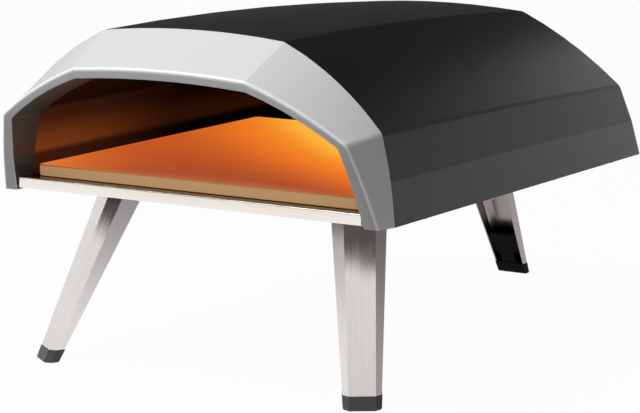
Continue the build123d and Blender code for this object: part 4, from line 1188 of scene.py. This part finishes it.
@dataclass
class Body(SubAssembly):
    """Front frame, outer shell, rear panel and base plate."""

    front: FrameSizes = FrameSizes()

    def build(self) -> None:
        """Makes the body."""
        self.frame_front()
        self.dress("outer_shell", crease=Crease.SHELL, even=True)
        self.dress("rear_panel")
        self.dress("base_plate")

    @staticmethod
    def bowed(chain: Sequence[Vector], parts: int) -> list[Vector]:
        """Runs a smooth curve through a chain of points.

        Args:
            chain: The points, in order.
            parts: Pieces that each step is cut into.

        Returns:
            The curve's points, the given ones among them.
        """
        steps = [b - a for a, b in zip(chain, chain[1:])]
        heads = [steps[0].normalized()]
        heads += [(a + b).normalized() for a, b in zip(steps, steps[1:])]
        heads.append(steps[-1].normalized())
        curve = []
        for a, b, leave, arrive in zip(chain, chain[1:], heads, heads[1:]):
            length = (b - a).length
            for part in range(parts):
                t = part / parts
                curve.append(
                    a * (2 * t**3 - 3 * t**2 + 1)
                    + leave * (length * (t**3 - 2 * t**2 + t))
                    + b * (3 * t**2 - 2 * t**3)
                    + arrive * (length * (t**3 - t**2))
                )
        return [*curve, chain[-1]]

    @staticmethod
    def cut(edges: Sequence[bmesh.types.BMEdge], cuts: int) -> set[bmesh.types.BMVert]:
        """Cuts edges into equal pieces.

        Args:
            edges: The edges.
            cuts: How many times each is cut.

        Returns:
            The new corners.
        """
        fresh = set()
        for edge in edges:
            near, far = edge.verts
            begin, end = near.co.copy(), far.co.copy()
            for step in range(1, cuts + 1):
                corner = bmesh.utils.edge_split(edge, near, 0.5)[1]
                corner.co = begin.lerp(end, step / (cuts + 1))
                edge = next(e for e in corner.link_edges if far in e.verts)
                near = corner
                fresh.add(corner)
        return fresh

    def skin_flare(self, work: bmesh.types.BMesh) -> None:
        """Lays a fine smooth skin over the flare, from the lip's outline to the seam's.

        Args:
            work: The frame's working mesh.
        """
        front = self.front
        flare = [face for face in work.faces if front.is_flare(face)]
        inside = set(flare)
        rim = {e for face in flare for e in face.edges if not inside.issuperset(e.link_faces)}
        sides = []
        for on_side in (front.on_lip, front.on_seam):
            edges = [e for e in rim if all(map(on_side, e.verts))]
            chain = front.in_order({v for e in edges for v in e.verts})
            sides.append((edges, chain, self.bowed([v.co.copy() for v in chain], front.cuts + 1)))
        feet = [e for e in rim if any(map(front.on_lip, e.verts))]
        feet = [e for e in feet if any(map(front.on_seam, e.verts))]
        for face in flare:
            work.faces.remove(face)
        for edge in [e for e in work.edges if not e.link_faces]:
            work.edges.remove(edge)
        chains = []
        for edges, chain, curve in sides:
            chain = front.in_order({*chain, *self.cut(edges, front.cuts)})
            for corner, spot in zip(chain, curve):
                corner.co = spot
            chains.append(chain)
        lip, seam = chains
        soles = self.cut(feet, front.rows - 1)
        right, left = [
            sorted((v for v in soles if v.co.x * side > 0), key=lambda v: front.depth(v.co))
            for side in (1, -1)
        ]
        grid = [lip]
        for row in range(1, front.rows):
            share = row / front.rows
            pairs = zip(lip[1:-1], seam[1:-1])
            inner = [work.verts.new(a.co.lerp(b.co, share)) for a, b in pairs]
            grid.append([right[row - 1], *inner, left[row - 1]])
        grid.append(seam)
        for low, high in zip(grid, grid[1:]):
            for i in range(len(low) - 1):
                work.faces.new((low[i], low[i + 1], high[i + 1], high[i]))

    def frame_front(self) -> None:
        """Rounds the frame: widely round the lip's outer rim, less round the mouth."""
        front = self.front

        def share(line: bmesh.types.BMEdge) -> float:
            """Finds how widely an edge is rounded.

            Args:
                line: The edge.

            Returns:
                How many times the fine radius it takes.
            """
            if len(line.link_faces) != 2:
                return 0.0
            if line.calc_face_angle(0.0) < math.radians(Crease.FRAME.value):
                return 0.0
            middle = (line.verts[0].co + line.verts[1].co) / 2
            if not all(map(front.on_lip, line.verts)) or middle.z < LIP_ORIGIN[2] + front.reach:
                return 1.0
            facing = sum((f.normal for f in line.link_faces), Vector())
            wide = front.rim_r if front.outward(facing, middle) else front.mouth_r
            return wide / front.fine_r

        work = self.copied("front_frame")
        self.skin_flare(work)
        bmesh.ops.recalc_face_normals(work, faces=work.faces)
        self.dress("front_frame", front.fine_r, None, Crease.FRAME, 4, share, True, work)


@dataclass
class Chamber(SubAssembly):
    """Liner, insulation, floor, front sill, stone and what it rests on."""

    pad_r: float = 0.0006
    sill_r: float = 0.0016
    stone_r: float = 0.0008
    # Painted shade on the sill's up-facing ledges
    sill_ledge_shade: Colour = (0.2, 0.15, 0.12)

    def build(self) -> None:
        """Makes the chamber."""
        for node in ("inner_liner", "liner_back", "floor_tray", "stone_supports"):
            self.dress(node)
        for node in ("back_insulation", "insulation_blanket", "floor_insulation"):
            self.dress(node, self.pad_r)
        steel = self.wardrobe.add(replace(STAINLESS, name="sill_steel", ledge_shade=self.sill_ledge_shade))
        self.dress("front_sill", self.sill_r, steel, segments=5)
        self.dress("baking_stone", self.stone_r, segments=3)


@dataclass
class Burner(SubAssembly):
    """Burner tube with its saddles, guard, mixing tube, jet, spark probe and sensor."""

    tube_r: float = 0.0002
    wire_r: float = 0.00015

    def build(self) -> None:
        """Makes the burner."""
        for node in ("burner_tube", "venturi_tube", "gas_jet"):
            self.dress(node, self.tube_r, crease=Crease.ROUND)
        for node in ("burner_saddles", "flame_guard"):
            self.dress(node)
        for node in ("spark_probe", "spark_wire", "flame_sensor", "spark_lead", "sensor_lead"):
            self.dress(node, self.wire_r, crease=Crease.ROUND)


@dataclass(frozen=True)
class KnobSizes:
    """Form of the control knob, in metres; its radii and depth follow its node."""

    flutes: int = 18
    flute_depth: float = 0.0007
    flute_sharpness: int = 8
    edge: float = 0.0015
    edge_steps: int = 5
    sides: int = 144
    skirt_share: float = 0.16
    wall: float = 0.003
    face_wall: float = 0.005
    taper: float = 0.0015
    dish_share: float = 0.6
    dish_foot_share: float = 0.56
    dish_depth: float = 0.0006


@dataclass
class GasTrain(SubAssembly):
    """Rear housing with the valve, inlet, stem, dial and control knob."""

    housing_r: float = 0.0005
    knob_sizes: KnobSizes = KnobSizes()

    def build(self) -> None:
        """Makes the gas train."""
        self.dress("burner_housing", self.housing_r, segments=3)
        self.dress("gas_valve", self.housing_r, crease=Crease.ROUND)
        self.dress("valve_perch")
        for node in ("valve_plunger", "gas_inlet", "inlet_nut", "valve_stem", "dial_plate"):
            self.dress(node, crease=Crease.ROUND)
        self.knob()

    def knob(self) -> None:
        """Turns the fluted knob, hollow behind its skirt, where its node is."""
        sizes = self.knob_sizes
        low, high = [Vector(corner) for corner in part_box("control_knob")]
        radius = (high.z - low.z) / 2
        middle = Vector(((low.x + high.x) / 2, low.y, (low.z + high.z) / 2))
        depth = high.y - low.y
        skirt = depth * sizes.skirt_share
        tip_r = radius - sizes.taper
        hollow_r = radius - sizes.wall
        dish = depth - sizes.dish_depth
        profile = [
            (depth - sizes.face_wall, 0.0),
            (depth - sizes.face_wall, hollow_r - sizes.taper),
            (0.0, hollow_r),
            (0.0, radius - sizes.edge / 3),
            (sizes.edge / 3, radius),
            (skirt, radius),
            (skirt + sizes.edge / 2, radius - sizes.edge / 3),
        ]
        for step in range(sizes.edge_steps + 1):
            turn = step / sizes.edge_steps * math.pi / 2
            profile.append(
                (
                    depth - sizes.edge + sizes.edge * math.sin(turn),
                    tip_r - sizes.edge + sizes.edge * math.cos(turn),
                )
            )
        profile += [(depth, tip_r * sizes.dish_share), (dish, tip_r * sizes.dish_foot_share)]
        profile.append((dish, 0.0))

        def grip(angle: float, plain: float) -> float:
            """Hollows the grip, on the tapered side alone.

            Args:
                angle: Angle round the knob.
                plain: Radius without the flutes.

            Returns:
                The radius.
            """
            if hollow_r < plain < radius - sizes.edge / 4:
                wave = math.cos(angle * sizes.flutes / 2) ** sizes.flute_sharpness
                return plain - sizes.flute_depth * wave
            return plain

        work = bmesh.new()
        self.turn_up(work, middle, Vector(Toward.LENGTHWISE.value), profile, sizes.sides, grip)
        bmesh.ops.recalc_face_normals(work, faces=work.faces)
        self.settle("control_knob", work, crease=Crease.TURNED)


@dataclass(frozen=True)
class LegTone:
    """Brushed steel of one leg: its axis from the foot, and where painted shade darkens it
    upwards.
    """

    name: str
    foot: Triple
    lean: float = 23.2
    colour: Colour = (0.84, 0.8, 0.785)
    roughness: float = 0.26
    facing: Triple = (0.0, 0.0, 1.0)
    clear: Triple = (0.0, 0.0, 1.0)
    shade: Colour = (0.1, 0.078, 0.078)
    shade_run: Span = (0.112, 0.146)

    def finish(self) -> Brushed:
        """Works out the leg's own finish.

        Returns:
            The finish, brushed along the leg.
        """
        out = Vector((self.foot[0], self.foot[1], 0.0)).normalized()
        tip = math.radians(self.lean)
        along = Vector((0.0, 0.0, math.cos(tip))) - out * math.sin(tip)
        return Brushed(
            f"leg_{self.name}_steel",
            tuple(along),
            self.colour,
            self.roughness,
            shade=self.shade,
            shade_from=self.foot,
            shade_facing=self.facing,
            clear_facing=self.clear,
            shade_run=self.shade_run,
        )


@dataclass
class Legs(SubAssembly):
    """Three folding legs, each with its foot, bracket and hinge pin."""

    leg_r: float = 0.0005
    foot_r: float = 0.0006
    pin_r: float = 0.0002
    TONES: ClassVar[tuple[LegTone, ...]] = (
        LegTone(
            "left",
            (-0.1694, -0.2565, 0.0),
            facing=(0.22, -0.937, 0.276),
            clear=(-0.15, -0.91, 0.36),
        ),
        LegTone(
            "right",
            (0.1694, -0.2565, 0.0),
            facing=(0.515, -0.763, 0.39),
            clear=(0.515, -0.763, 0.39),
            shade=(0.22, 0.18, 0.175),
        ),
        # The rear leg's darker steel is painted shade on the same brushed steel.
        LegTone("rear", (0.0, 0.30375, 0.0), colour=(0.36, 0.315, 0.305)),
    )

    def build(self) -> None:
        """Makes the legs."""
        for tone in self.TONES:
            steel = self.wardrobe.add(tone.finish())
            self.dress(f"leg_{tone.name}", self.leg_r, steel, segments=3)
            # The rear foot takes the rubber darkened as painted shade.
            rubber = self.wardrobe["foot_dark" if tone.name == "rear" else "foot_rubber"]
            self.dress(f"foot_{tone.name}", self.foot_r, rubber, segments=3)
            self.dress(f"bracket_{tone.name}")
            self.dress(f"hinge_pin_{tone.name}", self.pin_r, crease=Crease.ROUND)


@dataclass(frozen=True)
class Lamp:
    """A soft square lamp: its place, side in metres, power in watts and what it faces."""

    name: str
    place: Triple
    side: float
    power: float
    target: Triple = (0.0, 0.0, 0.15)

    def hang(self) -> None:
        """Hangs the lamp in the room."""
        light = bpy.data.lights.new(self.name, "AREA")
        light.shape = "SQUARE"
        light.size = self.side
        light.energy = self.power
        lamp = bpy.data.objects.new(self.name, light)
        lamp.location = self.place
        aim = Vector(self.target) - Vector(self.place)
        lamp.rotation_euler = aim.to_track_quat("-Z", "Y").to_euler()
        bpy.context.scene.collection.objects.link(lamp)


@dataclass
class Studio:
    """Plain pale floor, soft lamps and the camera, with its angles in radians."""

    eye: Triple = (1.266292, -1.961613, 0.536618)
    yaw: float = 0.588
    pitch: float = 0.179
    roll: float = -0.009
    focal_px: float = 2570.15
    frame_px: float = 640.0
    sensor_mm: float = 36.0
    clip: Span = (0.05, 60.0)
    floor_half: float = 9.0
    floor_colour: Colour = (0.35, 0.35, 0.35)
    floor_share: float = 0.97
    room_light: float = 0.06
    LAMPS: ClassVar[tuple[Lamp, ...]] = (
        Lamp("key_overhead", (-0.65, -0.9, 2.2), 1.2, 51.0, (0.0, -0.2, 0.15)),
        Lamp("fill_left", (-2.4, -1.0, 0.9), 1.2, 6.0),
        Lamp("card_left", (-2.2, 0.35, 0.3), 0.9, 2.3),
        Lamp("card_front", (-0.76, -2.56, 0.82), 0.9, 3.2),
        Lamp("card_corner", (-2.0, -1.55, 0.5), 0.8, 1.9),
        Lamp("card_right", (1.5, -1.9, 1.6), 0.8, 2.9),
        Lamp("card_side", (2.2, -0.9, 0.7), 1.0, 3.2),
        Lamp("card_rear", (1.9, 1.4, 0.45), 0.7, 0.7),
        Lamp("card_back", (0.2, 0.95, 0.5), 0.35, 0.55, (0.15, 0.15, 0.25)),
        Lamp("card_low", (0.36, 0.85, 0.22), 0.32, 0.5, (0.19, 0.15, 0.2)),
        Lamp("card_top", (-1.4, 2.1, 0.6), 0.9, 0.15, (0.0, 0.0, 0.3)),
    )

    def build(self) -> None:
        """Sets up floor, world, lamps and camera."""
        self._floor()
        self._world()
        for lamp in self.LAMPS:
            lamp.hang()
        self._camera()
        bpy.context.scene.view_settings.view_transform = "Standard"

    def _floor(self) -> None:
        """Lays the floor, which lights the oven as a grey and is seen as a near white."""
        mesh = bpy.data.meshes.new("floor")
        far = self.floor_half
        corners = [(-far, -far, 0), (far, -far, 0), (far, far, 0), (-far, far, 0)]
        mesh.from_pydata(corners, [], [(0, 1, 2, 3)])
        floor = bpy.data.objects.new("floor", mesh)
        bpy.context.scene.collection.objects.link(floor)
        s = Shader("studio_floor", Roughness=0.9, Metallic=0.0)
        s.put("Base Color", self.floor_colour)
        seen, glossy, through = [
            s.node("ShaderNodeLightPath", output=f"Is {ray} Ray")
            for ray in ("Camera", "Glossy", "Transmission")
        ]
        shown = seen.highest(glossy).highest(through) * self.floor_share
        white = s.node("ShaderNodeEmission", inputs={"Color": WHITE, "Strength": 1.0})
        plain = Value(s, s.surface.outputs[0])
        mix = s.node("ShaderNodeMixShader", inputs={0: shown, 1: plain, 2: white})
        s.tree.links.new(mix.socket, s.output.inputs[0])
        mesh.materials.append(s.material)

    def _world(self) -> None:
        """Lights the room evenly and shows it white."""
        world = bpy.data.worlds.new("room")
        bpy.context.scene.world = world
        world.use_nodes = True
        tree = world.node_tree
        tree.nodes.clear()
        path = tree.nodes.new("ShaderNodeLightPath")
        either = tree.nodes.new("ShaderNodeMath")
        either.operation = "MAXIMUM"
        tree.links.new(path.outputs["Is Camera Ray"], either.inputs[0])
        tree.links.new(path.outputs["Is Transmission Ray"], either.inputs[1])
        mix = tree.nodes.new("ShaderNodeMixShader")
        tree.links.new(either.outputs[0], mix.inputs[0])
        for socket, strength in ((1, self.room_light), (2, 1.0)):
            light = tree.nodes.new("ShaderNodeBackground")
            light.inputs[0].default_value = (*WHITE, 1.0)
            light.inputs[1].default_value = strength
            tree.links.new(light.outputs[0], mix.inputs[socket])
        out = tree.nodes.new("ShaderNodeOutputWorld")
        tree.links.new(mix.outputs[0], out.inputs[0])

    def _camera(self) -> None:
        """Places the camera at the photograph's viewpoint."""
        cy, sy = math.cos(self.yaw), math.sin(self.yaw)
        cp, sp = math.cos(self.pitch), math.sin(self.pitch)
        forward = Vector((-sy * cp, cy * cp, -sp))
        level = Vector((cy, sy, 0.0))
        upright = level.cross(forward)
        cr, sr = math.cos(self.roll), math.sin(self.roll)
        right = level * cr + upright * sr
        up = upright * cr - level * sr
        data = bpy.data.cameras.new("camera")
        data.sensor_width = self.sensor_mm
        data.lens = self.focal_px * self.sensor_mm / self.frame_px
        data.clip_start, data.clip_end = self.clip
        camera = bpy.data.objects.new("camera", data)
        turn = Matrix((right, up, -forward)).transposed().to_4x4()
        camera.matrix_world = Matrix.Translation(self.eye) @ turn
        bpy.context.scene.collection.objects.link(camera)
        bpy.context.scene.camera = camera


def main() -> None:
    """Builds and dresses every sub-assembly, then the studio."""
    logging.basicConfig(level=logging.INFO, format="%(name)s: %(message)s")
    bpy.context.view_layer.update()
    wardrobe = Wardrobe()
    for group in (Body, Chamber, Burner, GasTrain, Legs, Fasteners):
        group(wardrobe).build()
        log.info("%s built", group.__name__)
    Studio().build()


if __name__ == "__main__":
    main()
